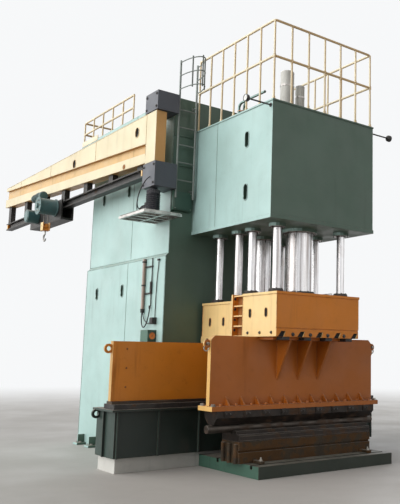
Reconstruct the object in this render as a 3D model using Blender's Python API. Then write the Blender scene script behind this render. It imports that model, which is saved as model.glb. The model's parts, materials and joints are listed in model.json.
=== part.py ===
"""Single-arm hydraulic press with two die stations and a slewing jib crane.

The frame is a box column with an overhanging head. Two plungers and eight guide rods hang
from the head and carry a slide made of a front and a rear block. Each block carries a die
beam over its own bed. A jib crane with a hoist trolley slews on the column's left side.
The origin is on the floor, in the middle of the press's width, under the front station.
"""
import math

import bmesh
import bpy
from mathutils import Vector

GAP = 0.0003
OVERRUN = 0.02
ROUND_SIDES = 24
GUIDE_SIDES = 16
SMALL_SIDES = 8
TUBE_SIDES = 6
SHARP_ANGLE = math.radians(35)

# Column
COLUMN_HALF_WIDTH = 1.396
COLUMN_UPPER_INSET = 0.044
COLUMN_FRONT_Y = 1.07
COLUMN_DEPTH = 2.95
COLUMN_TOP_Z = 5.58
COLUMN_STEP_Z = 3.05
COLUMN_SLOT_WIDTH = 0.10
COLUMN_SLOT_HEIGHT = 0.21
COLUMN_SLOT_DEPTH = 0.16
COLUMN_SLOT_BACK = 0.47
COLUMN_SLOT_SPACING = 1.02
COLUMN_SLOT_LOW_Z = 2.60
COLUMN_SLOT_HIGH_Z = 4.30
COLUMN_BACK_Y = COLUMN_FRONT_Y + COLUMN_DEPTH
COLUMN_UPPER_HALF_WIDTH = COLUMN_HALF_WIDTH - COLUMN_UPPER_INSET

# Head
HEAD_HALF_WIDTH = 0.955
HEAD_FRONT_Y = -1.0
HEAD_BOTTOM_Z = 3.415
HEAD_FLOOR_THICKNESS = 0.05
HEAD_TOP_Z = 5.06
HEAD_WALL = 0.05
HEAD_LIP = 0.012
ROOF_THICKNESS = 0.022
HEAD_SLOT_WIDTH = 0.10
HEAD_SLOT_HEIGHT = 0.24
HEAD_SLOT_SETBACK = 0.615
HEAD_SLOT_SPACING = 0.77
HEAD_SLOT_LOW_Z = 3.864
HEAD_FLOOR_TOP_Z = HEAD_BOTTOM_Z + HEAD_FLOOR_THICKNESS
ROOF_TOP_Z = HEAD_TOP_Z + GAP + ROOF_THICKNESS
HEAD_BACK_Y = COLUMN_FRONT_Y - GAP
RIGHT_ANGLE = math.pi / 2

# Slide, front block
SLIDE_HALF_WIDTH = 0.754
SLIDE_FRONT_Y = -0.912
SLIDE_JOINT_Y = 0.165
SLIDE_BOTTOM_Z = 1.83
SLIDE_BASE_HEIGHT = 0.108
SLIDE_TOP_Z = 2.443
SLIDE_LIP = 0.012
SLIDE_TOP_PLATE = 0.035
JOINT_FLANGE = 0.035
JOINT_NECK_LENGTH = 0.23
JOINT_NECK_INSET = 0.09
JOINT_FLANGE_LIP = 0.022
REAR_SHELL_SET_BACK = 0.014
REAR_PLATE_SET_BACK = 0.009
REAR_BASE_SET_BACK = 0.011
LADDER_STEPS = 5
LADDER_PLATE = 0.02
SLIDE_SLOT_WIDTH = 0.07
SLIDE_SLOT_HEIGHT = 0.135
SLIDE_SLOT_DEPTH = 0.09
SLIDE_SLOT_SPACING = 0.383
SLIDE_SLOT_SETBACK = 0.243
SLIDE_SLOT_DROP = 0.283
SEAM_DEPTH = 0.008
SEAM_HEIGHT = 0.012
POCKET_COUNT = 5
POCKET_WIDTH = 0.15
POCKET_HEIGHT = 0.075
POCKET_DEPTH = 0.05
POCKET_SLANT_SHARE = 0.25

# Slide, rear block
REAR_DROP = 0.09
REAR_BACK_Y = 0.99
REAR_SLOT_SETBACK = 0.217
REAR_SLOT_SPACING = 0.372
REAR_BOTTOM_Z = SLIDE_BOTTOM_Z - REAR_DROP
REAR_TOP_Z = SLIDE_TOP_Z - REAR_DROP

# Plungers and guide rods
FRONT_PLUNGER_RADIUS = 0.20
FRONT_PLUNGER_Y = -0.43
REAR_PLUNGER_RADIUS = 0.132
REAR_PLUNGER_Y = 0.50
PLUNGER_INSIDE = 0.50
RUNNING_CLEARANCE = 0.004
CYLINDER_WALL = 0.07
GUIDE_RADIUS = 0.06
GUIDE_HALF_SPACING = 0.60
FRONT_GUIDE_FRONT_Y = -0.68
FRONT_GUIDE_REAR_Y = -0.08
REAR_GUIDE_FRONT_Y = 0.27
REAR_GUIDE_REAR_Y = 0.80
GUIDE_INSIDE = 0.42
BUSH_WALL = 0.025
GLAND_WALL = 0.055
GLAND_HEIGHT = 0.045
COLLAR_WALL = 0.045
COLLAR_HEIGHT = 0.035
CYLINDER_HEIGHT = 1.45
GUIDE_PLACES = (
    (-GUIDE_HALF_SPACING, FRONT_GUIDE_FRONT_Y),
    (GUIDE_HALF_SPACING, FRONT_GUIDE_FRONT_Y),
    (-GUIDE_HALF_SPACING, FRONT_GUIDE_REAR_Y),
    (GUIDE_HALF_SPACING, FRONT_GUIDE_REAR_Y),
    (-GUIDE_HALF_SPACING, REAR_GUIDE_FRONT_Y),
    (GUIDE_HALF_SPACING, REAR_GUIDE_FRONT_Y),
    (-GUIDE_HALF_SPACING, REAR_GUIDE_REAR_Y),
    (GUIDE_HALF_SPACING, REAR_GUIDE_REAR_Y),
)
FRONT_GUIDE_COUNT = 4

# Front die beam
BEAM_HALF_LENGTH = 1.475
BEAM_WEB_FRONT_Y = -0.447
BEAM_WEB = 0.08
BEAM_FLANGE_TOP_Z = 0.906
BEAM_FLANGE = 0.062
BEAM_FLANGE_FRONT = 0.121
BEAM_FLANGE_BACK = 0.15
BEAM_FLANGE_OVERHANG = 0.03
BEAM_CORNER = 0.06
BEAM_RIB_COUNT = 11
BEAM_RIB_HEIGHT = 0.12
BEAM_RIB_REACH = 0.10
BEAM_RIB_PLATE = 0.022
BEAM_RIB_END = 0.255
GUSSET_COUNT = 3
GUSSET_SPACING = 0.37
GUSSET_REACH = 0.31
GUSSET_HEIGHT = 0.60
GUSSET_PLATE = 0.035
BEAM_PAD_HALF_LENGTH = 0.70
BEAM_PAD = 0.04
BEAM_PAD_BACK = 0.25
BEAM_TOP_Z = SLIDE_BOTTOM_Z - GAP
BEAM_WEB_BACK_Y = BEAM_WEB_FRONT_Y + BEAM_WEB
BEAM_BOTTOM_Z = BEAM_FLANGE_TOP_Z - BEAM_FLANGE
RIB_ROOT = 0.02
PRESS_LINE_Y = BEAM_WEB_FRONT_Y + BEAM_WEB / 2
FLANGE_BOLT_RADIUS = 0.022
FLANGE_BOLT_HEIGHT = 0.03
FLANGE_BOLT_ROOT = 0.015
FLANGE_BOLT_SIDES = 6
FLANGE_BOLT_COUNT = 12
CLAMP_COUNT = 4
CLAMP_LENGTH = 0.12
CLAMP_WIDTH = 0.05
CLAMP_HEIGHT = 0.045
SHACKLE_RADIUS = 0.055
SHACKLE_HOLE = 0.026
SHACKLE_PLATE = 0.03
SHACKLE_DROP = 0.10
SHACKLE_SEAT = 0.012

# Front tools
UPPER_DIE_HALF_LENGTH = 1.42
UPPER_DIE_TOP_HALF = 0.15
UPPER_DIE_FOOT_HALF = 0.055
UPPER_DIE_NECK_HEIGHT = 0.09
PUNCH_RADIUS = 0.055
PUNCH_CENTRE_Z = 0.605
PUNCH_HALF_LENGTH = 1.487
V_BLOCK_TOP_Z = 0.575
V_BLOCK_HALF = 0.21
V_STEP = 0.07
V_STEP_HEIGHT = 0.045
LOWER_DIE_LEFT = 1.10
LOWER_DIE_RIGHT = 1.28
LOWER_DIE_TOP_Z = 0.44
LOWER_DIE_HALF = 0.21
DIE_GROOVE = 0.03
DIE_GROOVE_DEPTH = 0.025
END_POST_RADIUS = 0.03
END_POST_COUNT = 3

# Front bed
BOLSTER_LEFT = 1.03
BOLSTER_RIGHT = 1.40
BOLSTER_FRONT_Y = -0.965
BOLSTER_TOP_Z = 0.16
BOLSTER_SPLIT_Y = -0.16
BED_SLOT_WIDTH = 0.05
BED_SLOT_DEPTH = 0.05
BED_SLOT_INSET = 0.14

# Rear station
REAR_BEAM_HALF_LENGTH = 2.39
REAR_WEB_FRONT_Y = 0.55
REAR_WEB = 0.08
PACKING_FRONT_REACH = 0.04
PACKING_BACK_REACH = 0.04
REAR_DIE_REACH = 0.12
REAR_BEAM_BOTTOM_Z = 0.94
REAR_PAD_REACH = 0.16
LUG_RADIUS = 0.065
LUG_HOLE = 0.032
LUG_PLATE = 0.03
LUG_DROP = 0.10
LUG_SEAT = 0.015
PACKING_HEIGHT = 0.038
REAR_DIE_HEIGHT = 0.065
REAR_BED_HALF_LENGTH = 2.36
REAR_BED_FRONT_Y = 0.45
REAR_BED_BACK_Y = 1.03
REAR_BED_BOTTOM_Z = 0.20
REAR_BED_FLANGE = 0.03
REAR_BED_LIP = 0.03
REAR_RIB = 0.02
REAR_RIB_REACH = 0.035
REAR_RIB_PLACE_SHARES = (-0.985, -0.73, -0.46, -0.2, 0.2, 0.46, 0.73, 0.985)
PLINTH_INSET = 0.05
REAR_BEAM_TOP_Z = REAR_BOTTOM_Z - GAP
PACKING_TOP_Z = REAR_BEAM_BOTTOM_Z - GAP
REAR_DIE_TOP_Z = PACKING_TOP_Z - PACKING_HEIGHT - GAP
REAR_BED_TOP_Z = REAR_DIE_TOP_Z - REAR_DIE_HEIGHT - GAP

# Roof rails, ladder and platform
RAIL_RADIUS = 0.018
POST_RADIUS = 0.015
RAIL_TOP_Z = 6.25
RAIL_MID_Z = 5.72
RAIL_INSET = 0.03
BRACKET_REACH_SHARE = 0.95
BRACKET_COUNT = 3
FRONT_POST_COUNT = 7
SIDE_POST_COUNT = 7
PLATFORM_REACH = 0.75
PLATFORM_THICKNESS = 0.05
PLATFORM_Z = 5.50
BRACKET_PLATE = 0.03
BRACKET_DROP = 0.55
REAR_RAIL_TOP_Z = 6.04
REAR_RAIL_START_Y = 2.6
REAR_POST_COUNT = 6
LADDER_HALF_WIDTH = 0.15
LADDER_STAND_IN = 0.226
LADDER_X = -(COLUMN_HALF_WIDTH - LADDER_STAND_IN)
LADDER_TUBE = 0.016
RUNG_RADIUS = 0.011
HOOP_TUBE = 0.009
LADDER_ARM = 0.010
LADDER_STANDOFF = 0.10
LADDER_BOTTOM_Z = 3.95
LADDER_TOP_Z = 6.15
LADDER_PITCH = 0.28
HOOP_DEPTH = 0.42
HOOP_COUNT = 3
HOOP_PITCH = 0.22
HOOP_POINTS = 9
LADDER_ARM_SIDES = 6

# Roof machinery
TANK_RADIUS = 0.11
TANK_HEIGHT = 0.98
TANK_X = 0.06
TANK_Y = 0.02
SMALL_TANK_RADIUS = 0.075
SMALL_TANK_HEIGHT = 0.80
SMALL_TANK_X = 0.32
SKID_HEIGHT = 0.03
PUMP_RADIUS = 0.12
PUMP_LENGTH = 0.34
PUMP_Y = 0.42
PUMP_FOOT = 0.05
VALVE_BLOCK_WIDTH = 0.18
VALVE_BLOCK_HEIGHT = 0.14
VALVE_BLOCK_X = -0.62
VALVE_BLOCK_Y = 0.28
PIPE_RADIUS = 0.022
PIPE_RISE = 0.26
PIPE_RUN = 0.30
PIPE_BEND = 0.10
PIPE_BEND_POINTS = 5
PIPE_PLACE_SHARES = (-0.5, 0.5)
PIPE_HEIGHT_SHARES = (0.5, 1.0)

# Lamps
LAMP_ARM_RADIUS = 0.011
LAMP_REACH = 0.36
LAMP_RADIUS = 0.05
LAMP_LENGTH = 0.07
LAMP_Z = 5.0

# Left side fittings of the column
CONDUIT_RADIUS = 0.028
CONDUIT_Y = 1.70
CONDUIT_BOTTOM_Z = 2.08
HOSE_RADIUS = 0.012
HOSE_Y = 1.54
HOSE_LOOP_Z = 2.10
BOX_REACH = 0.14
SWITCH_BOX_Y = 1.38
SWITCH_BOX_HALF = 0.12
SWITCH_BOX_LOW_Z = 1.72
SWITCH_BOX_HEIGHT = 0.21
JUNCTION_Y = 1.31
JUNCTION_HALF = 0.05
JUNCTION_LOW_Z = 2.02
JUNCTION_HEIGHT = 0.10
CLIP_REACH = 0.03
HOSE_SWING = 0.06
HOSE_SAG_SHARE = 2.0
HOSE_POINTS = 9
HOSE_END_DROP = 0.28
CLIP_HEIGHTS = (2.07, 2.49, 2.91)
STEP_RIB_REACH = 0.02
STEP_RIB_PLATE = 0.02
STEP_RIB_LOW_Z = 4.48
STEP_RIB_HIGH_Z = 4.96

# Jib crane
PIVOT_STAND_OFF = 0.229
PIVOT_X = -(COLUMN_HALF_WIDTH + PIVOT_STAND_OFF)
PIVOT_Y = 1.11
JIB_HALF_WIDTH = 0.085
JIB_TOP_Z = 5.25
JIB_FRONT_Y = 0.95
JIB_HUB_LENGTH = 0.32
JIB_FAR_Y = 8.2
JIB_BOTTOM_FRONT_Z = 4.46
JIB_BOTTOM_RISE = 0.35
WEB_BAND_FRONT_Z = 4.615
WEB_BAND_RISE = 0.37
UPPER_BOX_FRONT_Z = 4.765
UPPER_BOX_RISE = 0.42
WEB_BAND_INSET = 0.05
JIB_SLOT_WIDTH = 0.13
JIB_SLOT_HEIGHT = 0.165
JIB_SLOT_DEPTH = 0.04
JIB_SLOT_Z = 5.037
JIB_SLOT_PLACES = (1.59, 4.17)
PIN_RADIUS = 0.05
PIN_CLEARANCE = 0.003
BRACKET_HEIGHT = 0.30
BRACKET_HALF_DEPTH = 0.20
LOWER_BRACKET_HEIGHT = 0.38
HUB_CLEARANCE = 0.01
DRIVE_RADIUS = 0.11
DRIVE_MOTOR_RADIUS = 0.088
DRIVE_MOTOR_LENGTH = 0.30
PLATFORM_BAR = 0.04
PLATFORM_BAR_COUNT = 5
DRIVE_FLOOR_Z = 3.60
DRIVE_FLOOR_HALF_LENGTH = 0.42
DRIVE_FLOOR_REACH = 0.62
RUNWAY_BOTTOM_Z = 4.28
RUNWAY_HEIGHT = 0.14
RUNWAY_HALF_WIDTH = 0.065
RUNWAY_FLANGE = 0.02
RUNWAY_WEB = 0.02
RUNWAY_FRONT_Y = 1.36
RUNWAY_END = 0.08
HANGER_COUNT = 7
HANGER_LENGTH = 0.16
HANGER_HALF_WIDTH = 0.05

# Hoist trolley
TROLLEY_Y = 5.45
TROLLEY_HALF_LENGTH = 0.85
TROLLEY_PLATE = 0.025
TROLLEY_INNER_HALF = 0.095
TROLLEY_BOTTOM_Z = 4.08
TROLLEY_TOP_Z = 4.44
WHEEL_RADIUS = 0.045
WHEEL_WIDTH = 0.034
WHEEL_BASE_HALF = 0.55
AXLE_RADIUS = 0.014
DRUM_RADIUS = 0.17
DRUM_LENGTH = 0.34
DRUM_FLANGE = 0.02
DRUM_BARREL_RADIUS = 0.146
DRUM_BORE_RADIUS = 0.034
DRUM_OFFSET_Y = -0.55
DRUM_Z = 4.31
GEARBOX_RADIUS = 0.13
GEARBOX_LENGTH = 0.24
GEARBOX_OFFSET_Y = 0.42
GEARBOX_Z = 4.26
MOTOR_RADIUS = 0.085
MOTOR_LENGTH = 0.52
MOTOR_OFFSET_Y = 0.16
MOTOR_Z = 4.62
MOTOR_ARM = 0.16
ROPE_RADIUS = 0.008
ROPE_LENGTH = 0.16
HOOK_BLOCK_HEIGHT = 0.16
HOOK_BLOCK_HALF = 0.07
HOOK_RADIUS = 0.06
HOOK_TUBE = 0.017
HOOK_SHANK = 0.07
HOOK_SWEEP = math.radians(250)
HOOK_POINTS = 14
WHEEL_Z = RUNWAY_BOTTOM_Z + RUNWAY_FLANGE + GAP + WHEEL_RADIUS
WHEEL_NEAR = RUNWAY_WEB / 2 + HUB_CLEARANCE / 2

AXES = {"x": (0, 1, 2), "y": (1, 2, 0), "z": (2, 0, 1)}


def place(axis, along, across, up):
    """Put a height along one axis and two cross coordinates, in turning order, into x, y, z."""
    point = [0.0, 0.0, 0.0]
    main, first, second = AXES[axis]
    point[main], point[first], point[second] = along, across, up
    return tuple(point)


def prism(axis, outline, low, high):
    """A straight extrusion of an outline, given in the two axes that follow the main one."""
    count = len(outline)
    verts = [place(axis, low, *point) for point in outline]
    verts += [place(axis, high, *point) for point in outline]
    faces = [tuple(range(count - 1, -1, -1)), tuple(range(count, 2 * count))]
    for i in range(count):
        j = (i + 1) % count
        faces.append((i, j, count + j, count + i))
    return verts, faces


def box(low, high):
    """A block between two corners."""
    outline = [(low[0], low[1]), (high[0], low[1]), (high[0], high[1]), (low[0], high[1])]
    return prism("z", outline, low[2], high[2])


def circle(centre, radius, sides):
    """The points of a regular polygon round a centre."""
    step = 2 * math.pi / sides
    return [(centre[0] + radius * math.cos(step * i), centre[1] + radius * math.sin(step * i))
            for i in range(sides)]


def rod(axis, centre, radius, low, high, sides=ROUND_SIDES):
    """A round bar along an axis."""
    return prism(axis, circle(centre, radius, sides), low, high)


def turned(axis, centre, profile, sides=ROUND_SIDES):
    """A ring turned from a closed profile of radius and height points."""
    verts = []
    for radius, along in profile:
        verts += [place(axis, along, *point) for point in circle(centre, radius, sides)]
    faces = []
    rows = len(profile)
    for row in range(rows):
        below = row * sides
        above = (row + 1) % rows * sides
        for i in range(sides):
            j = (i + 1) % sides
            faces.append((below + i, below + j, above + j, above + i))
    return verts, faces


def turned_solid(axis, centre, profile, sides=ROUND_SIDES):
    """A solid turned from radius and height points, closed by a flat face at each end."""
    verts, faces = turned(axis, centre, profile, sides)
    faces = faces[:(len(profile) - 1) * sides]
    last = (len(profile) - 1) * sides
    faces.append(tuple(range(sides)))
    faces.append(tuple(range(last, last + sides)))
    return verts, faces


def sleeve(axis, centre, inner, outer, low, high, sides=ROUND_SIDES):
    """A plain hollow cylinder."""
    profile = [(inner, low), (outer, low), (outer, high), (inner, high)]
    return turned(axis, centre, profile, sides)


def stadium(centre, width, height, arc_points=8):
    """A tall slot outline with round ends, taller along its second coordinate."""
    radius = width / 2
    rise = height / 2 - radius
    points = []
    for end, start in ((1, 0.0), (-1, math.pi)):
        for i in range(arc_points + 1):
            angle = start + math.pi * i / arc_points
            points.append((centre[0] + radius * math.cos(angle),
                           centre[1] + end * rise + radius * math.sin(angle)))
    return points


def pipe(points, radius, sides=TUBE_SIDES):
    """A round tube along a line of points, with flat ends and mitred bends."""
    path = [Vector(point) for point in points]
    last = len(path) - 1
    tangents = []
    for i in range(len(path)):
        before = path[i] - path[max(i - 1, 0)]
        after = path[min(i + 1, last)] - path[i]
        tangents.append((before.normalized() + after.normalized()).normalized())
    side = tangents[0].orthogonal().normalized()
    verts = []
    for i, tangent in enumerate(tangents):
        side = (side - tangent * side.dot(tangent)).normalized()
        other = tangent.cross(side)
        for k in range(sides):
            angle = 2 * math.pi * k / sides
            verts.append(tuple(path[i] + radius * (math.cos(angle) * side + math.sin(angle) * other)))
    faces = [tuple(range(sides - 1, -1, -1)), tuple(range(last * sides, (last + 1) * sides))]
    for i in range(last):
        for k in range(sides):
            n = (k + 1) % sides
            faces.append((i * sides + k, i * sides + n, (i + 1) * sides + n, (i + 1) * sides + k))
    return verts, faces


def material(name, colour, roughness, metallic=0.0):
    """A plain painted or bare surface."""
    made = bpy.data.materials.new(name)
    made.use_nodes = True
    shader = made.node_tree.nodes["Principled BSDF"]
    shader.inputs["Base Color"].default_value = (*colour, 1.0)
    shader.inputs["Roughness"].default_value = roughness
    shader.inputs["Metallic"].default_value = metallic
    made.diffuse_color = (*colour, 1.0)
    return made


def mesh_object(name, shapes, origin):
    """One mesh object from closed shapes, with its own origin."""
    builder = bmesh.new()
    for verts, faces in shapes:
        made = [builder.verts.new(Vector(point) - Vector(origin)) for point in verts]
        for face in faces:
            builder.faces.new([made[index] for index in face])
    bmesh.ops.recalc_face_normals(builder, faces=builder.faces)
    mesh = bpy.data.meshes.new(name)
    builder.to_mesh(mesh)
    builder.free()
    made = bpy.data.objects.new(name, mesh)
    made.location = origin
    bpy.context.collection.objects.link(made)
    return made


def add_boolean(target, shapes, operation, origin, label):
    """Join or cut a target with shapes that stay as a hidden guide object."""
    guide = mesh_object(f"{target.name}_{label}", shapes, origin)
    guide.hide_render = True
    guide.display_type = "WIRE"
    change = target.modifiers.new(label, "BOOLEAN")
    change.operation = operation
    change.solver = "EXACT"
    change.use_self = True
    change.object = guide


def part(name, finish, shapes, origin=(0, 0, 0), cuts=(), parent=None, smooth=False):
    """One named piece: its shapes are welded into one body, and cuts are taken out of it."""
    shapes = list(shapes)
    if len(shapes) > 1:
        made = mesh_object(name, shapes[:-1], origin)
        add_boolean(made, shapes[-1:], "UNION", origin, "weld")
    else:
        made = mesh_object(name, shapes, origin)
    if cuts:
        add_boolean(made, cuts, "DIFFERENCE", origin, "cut")
    made.data.materials.append(finish)
    if smooth:
        made.data.shade_smooth()
        made.data.set_sharp_from_angle(angle=SHARP_ANGLE)
    if parent is not None:
        made.parent = parent
        made.matrix_parent_inverse = parent.matrix_world.inverted()
    return made


def body_empty(name, origin):
    """The frame of a moving body, on its joint's axis."""
    made = bpy.data.objects.new(name, None)
    made.location = origin
    bpy.context.collection.objects.link(made)
    bpy.context.view_layer.update()
    return made


def spread(first, last, count):
    """Evenly spaced values from first to last."""
    return [first + (last - first) * i / (count - 1) for i in range(count)]


def both_sides(value):
    """A value on the left and on the right."""
    return (-value, value)


def side_pair(outline, near, far):
    """The same outline run from near to far on the right, and mirrored on the left."""
    return [prism("x", outline, near, far), prism("x", outline, -far, -near)]


def build_column(finish):
    """The box column, stepped in above its lower shell, with lifting slots in both sides."""
    outline = [
        (-COLUMN_HALF_WIDTH, 0.0),
        (COLUMN_HALF_WIDTH, 0.0),
        (COLUMN_HALF_WIDTH, COLUMN_STEP_Z),
        (COLUMN_UPPER_HALF_WIDTH, COLUMN_STEP_Z + COLUMN_UPPER_INSET),
        (COLUMN_UPPER_HALF_WIDTH, COLUMN_TOP_Z),
        (-COLUMN_UPPER_HALF_WIDTH, COLUMN_TOP_Z),
        (-COLUMN_UPPER_HALF_WIDTH, COLUMN_STEP_Z + COLUMN_UPPER_INSET),
        (-COLUMN_HALF_WIDTH, COLUMN_STEP_Z),
    ]
    turned_outline = [(z, x) for x, z in outline]
    shell = prism("y", turned_outline, COLUMN_FRONT_Y, COLUMN_BACK_Y)
    cuts = []
    for z in (COLUMN_SLOT_LOW_Z, COLUMN_SLOT_HIGH_Z):
        for step in (0, 1):
            y = COLUMN_BACK_Y - COLUMN_SLOT_BACK - step * COLUMN_SLOT_SPACING
            slot = stadium((y, z), COLUMN_SLOT_WIDTH, COLUMN_SLOT_HEIGHT)
            cuts += side_pair(slot, COLUMN_HALF_WIDTH - COLUMN_SLOT_DEPTH, COLUMN_HALF_WIDTH + OVERRUN)
    front = COLUMN_FRONT_Y - STEP_RIB_REACH
    left = -COLUMN_UPPER_HALF_WIDTH
    right = -HEAD_HALF_WIDTH - HEAD_LIP - GAP
    ribs = [box((left, front, z), (right, COLUMN_FRONT_Y + STEP_RIB_REACH, z + STEP_RIB_PLATE))
            for z in (STEP_RIB_LOW_Z, STEP_RIB_HIGH_Z)]
    part("column", finish, [shell, *ribs], cuts=cuts)


def build_head(finish):
    """The overhanging head: four walls, a roof and a floor that the glands hang from."""
    outer = [(-HEAD_HALF_WIDTH, HEAD_FRONT_Y), (HEAD_HALF_WIDTH, HEAD_FRONT_Y),
             (HEAD_HALF_WIDTH, HEAD_BACK_Y), (-HEAD_HALF_WIDTH, HEAD_BACK_Y)]
    inner = [(x - math.copysign(HEAD_WALL, x), y) for x, y in outer]
    inner = [(x, y + (HEAD_WALL if y < 0 else -HEAD_WALL)) for x, y in inner]
    low = HEAD_FLOOR_TOP_Z + GAP
    walls = prism("z", outer, low, HEAD_TOP_Z)
    cuts = [prism("z", inner, low - OVERRUN, HEAD_TOP_Z + OVERRUN)]
    for z in (HEAD_SLOT_LOW_Z, HEAD_SLOT_LOW_Z + HEAD_SLOT_SPACING):
        slot = stadium((HEAD_FRONT_Y + HEAD_SLOT_SETBACK, z), HEAD_SLOT_WIDTH, HEAD_SLOT_HEIGHT)
        cuts += side_pair(slot, HEAD_HALF_WIDTH - HEAD_WALL - OVERRUN / 2, HEAD_HALF_WIDTH + OVERRUN)
    walls_made = part("head_walls", finish, [walls], cuts=cuts[:1])
    add_boolean(walls_made, cuts[1:], "DIFFERENCE", (0, 0, 0), "slots")
    lip = HEAD_HALF_WIDTH + HEAD_LIP
    front = HEAD_FRONT_Y - HEAD_LIP
    part("head_roof", finish, [box((-lip, front, HEAD_TOP_Z + GAP), (lip, HEAD_BACK_Y, ROOF_TOP_Z))])
    floor = box((-lip, front, HEAD_BOTTOM_Z), (lip, HEAD_BACK_Y, HEAD_FLOOR_TOP_Z))
    shapes = []
    bores = []
    bush_top = HEAD_FLOOR_TOP_Z + CYLINDER_HEIGHT
    for x, y, radius, sides in rod_rows():
        bore = radius + RUNNING_CLEARANCE
        low = HEAD_BOTTOM_Z - GLAND_HEIGHT
        shapes.append(rod("z", (x, y), bore + GLAND_WALL, low, HEAD_BOTTOM_Z + OVERRUN / 2, sides))
        bores.append(rod("z", (x, y), bore, low - OVERRUN, bush_top + OVERRUN, sides))
    for x, y in GUIDE_PLACES:
        outer_radius = GUIDE_RADIUS + RUNNING_CLEARANCE + BUSH_WALL
        shapes.append(rod("z", (x, y), outer_radius, HEAD_BOTTOM_Z + OVERRUN, bush_top, GUIDE_SIDES))
    part("head_floor", finish, [*shapes, floor], cuts=bores)


def plunger_rows():
    """The place along Y and the radius of each plunger."""
    return ((FRONT_PLUNGER_Y, FRONT_PLUNGER_RADIUS), (REAR_PLUNGER_Y, REAR_PLUNGER_RADIUS))


def rod_rows():
    """The place, radius and number of sides of every rod that passes the head's floor."""
    rows = [(x, y, GUIDE_RADIUS, GUIDE_SIDES) for x, y in GUIDE_PLACES]
    rows += [(0.0, y, radius, ROUND_SIDES) for y, radius in plunger_rows()]
    return rows


def build_cylinders(finish):
    """The two cylinder barrels that stand on the head's floor, inside it."""
    low = HEAD_FLOOR_TOP_Z + GAP
    for name, (y, radius) in zip(("front_cylinder", "rear_cylinder"), plunger_rows()):
        inner = radius + RUNNING_CLEARANCE
        barrel = sleeve("z", (0.0, y), inner, inner + CYLINDER_WALL, low, low + CYLINDER_HEIGHT)
        part(name, finish, [barrel], smooth=True)


def build_bed(green, rust, dark):
    """The front bed: bolster, lower die body with its end posts, and the grooved die on top."""
    slots = []
    for y in (BOLSTER_FRONT_Y + BED_SLOT_INSET, BOLSTER_SPLIT_Y + BED_SLOT_INSET):
        slots.append(box((-BOLSTER_LEFT - OVERRUN, y, BOLSTER_TOP_Z - BED_SLOT_DEPTH),
                         (BOLSTER_RIGHT + OVERRUN, y + BED_SLOT_WIDTH, BOLSTER_TOP_Z + OVERRUN)))
    back = REAR_BED_FRONT_Y + PLINTH_INSET - GAP
    plate = box((-BOLSTER_LEFT, BOLSTER_FRONT_Y, 0.0), (BOLSTER_RIGHT, back, BOLSTER_TOP_Z))
    part("bolster", green, [plate], cuts=slots)
    front = PRESS_LINE_Y - LOWER_DIE_HALF
    back = PRESS_LINE_Y + LOWER_DIE_HALF
    low = BOLSTER_TOP_Z + GAP
    body = box((-LOWER_DIE_LEFT, front, low), (LOWER_DIE_RIGHT, back, LOWER_DIE_TOP_Z))
    middle = (low + LOWER_DIE_TOP_Z) / 2
    grooves = []
    for near, far in ((front - OVERRUN, front + DIE_GROOVE_DEPTH),
                      (back - DIE_GROOVE_DEPTH, back + OVERRUN)):
        grooves.append(box((-LOWER_DIE_LEFT - OVERRUN, near, middle),
                           (LOWER_DIE_RIGHT + OVERRUN, far, middle + DIE_GROOVE)))
    posts = []
    for y in spread(front + END_POST_RADIUS * 2, back - END_POST_RADIUS * 2, END_POST_COUNT):
        centre = (-LOWER_DIE_LEFT - END_POST_RADIUS / 2, y)
        posts.append(rod("z", centre, END_POST_RADIUS, low, LOWER_DIE_TOP_Z - END_POST_RADIUS, SMALL_SIDES))
    part("lower_die_body", rust, [body, *posts], cuts=grooves)
    low = LOWER_DIE_TOP_Z + GAP
    apex = PUNCH_CENTRE_Z - (PUNCH_RADIUS + GAP) * math.sqrt(2)
    notch = V_BLOCK_TOP_Z - apex
    shoulder = V_BLOCK_HALF - V_STEP
    step_z = V_BLOCK_TOP_Z - V_STEP_HEIGHT
    outline = [(-V_BLOCK_HALF, low), (V_BLOCK_HALF, low), (V_BLOCK_HALF, step_z), (shoulder, step_z),
               (shoulder, V_BLOCK_TOP_Z), (notch, V_BLOCK_TOP_Z), (0.0, apex), (-notch, V_BLOCK_TOP_Z),
               (-shoulder, V_BLOCK_TOP_Z), (-shoulder, step_z), (-V_BLOCK_HALF, step_z)]
    outline = [(PRESS_LINE_Y + y, z) for y, z in outline]
    part("grooved_die", dark, [prism("x", outline, -LOWER_DIE_LEFT, LOWER_DIE_RIGHT)])


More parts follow.
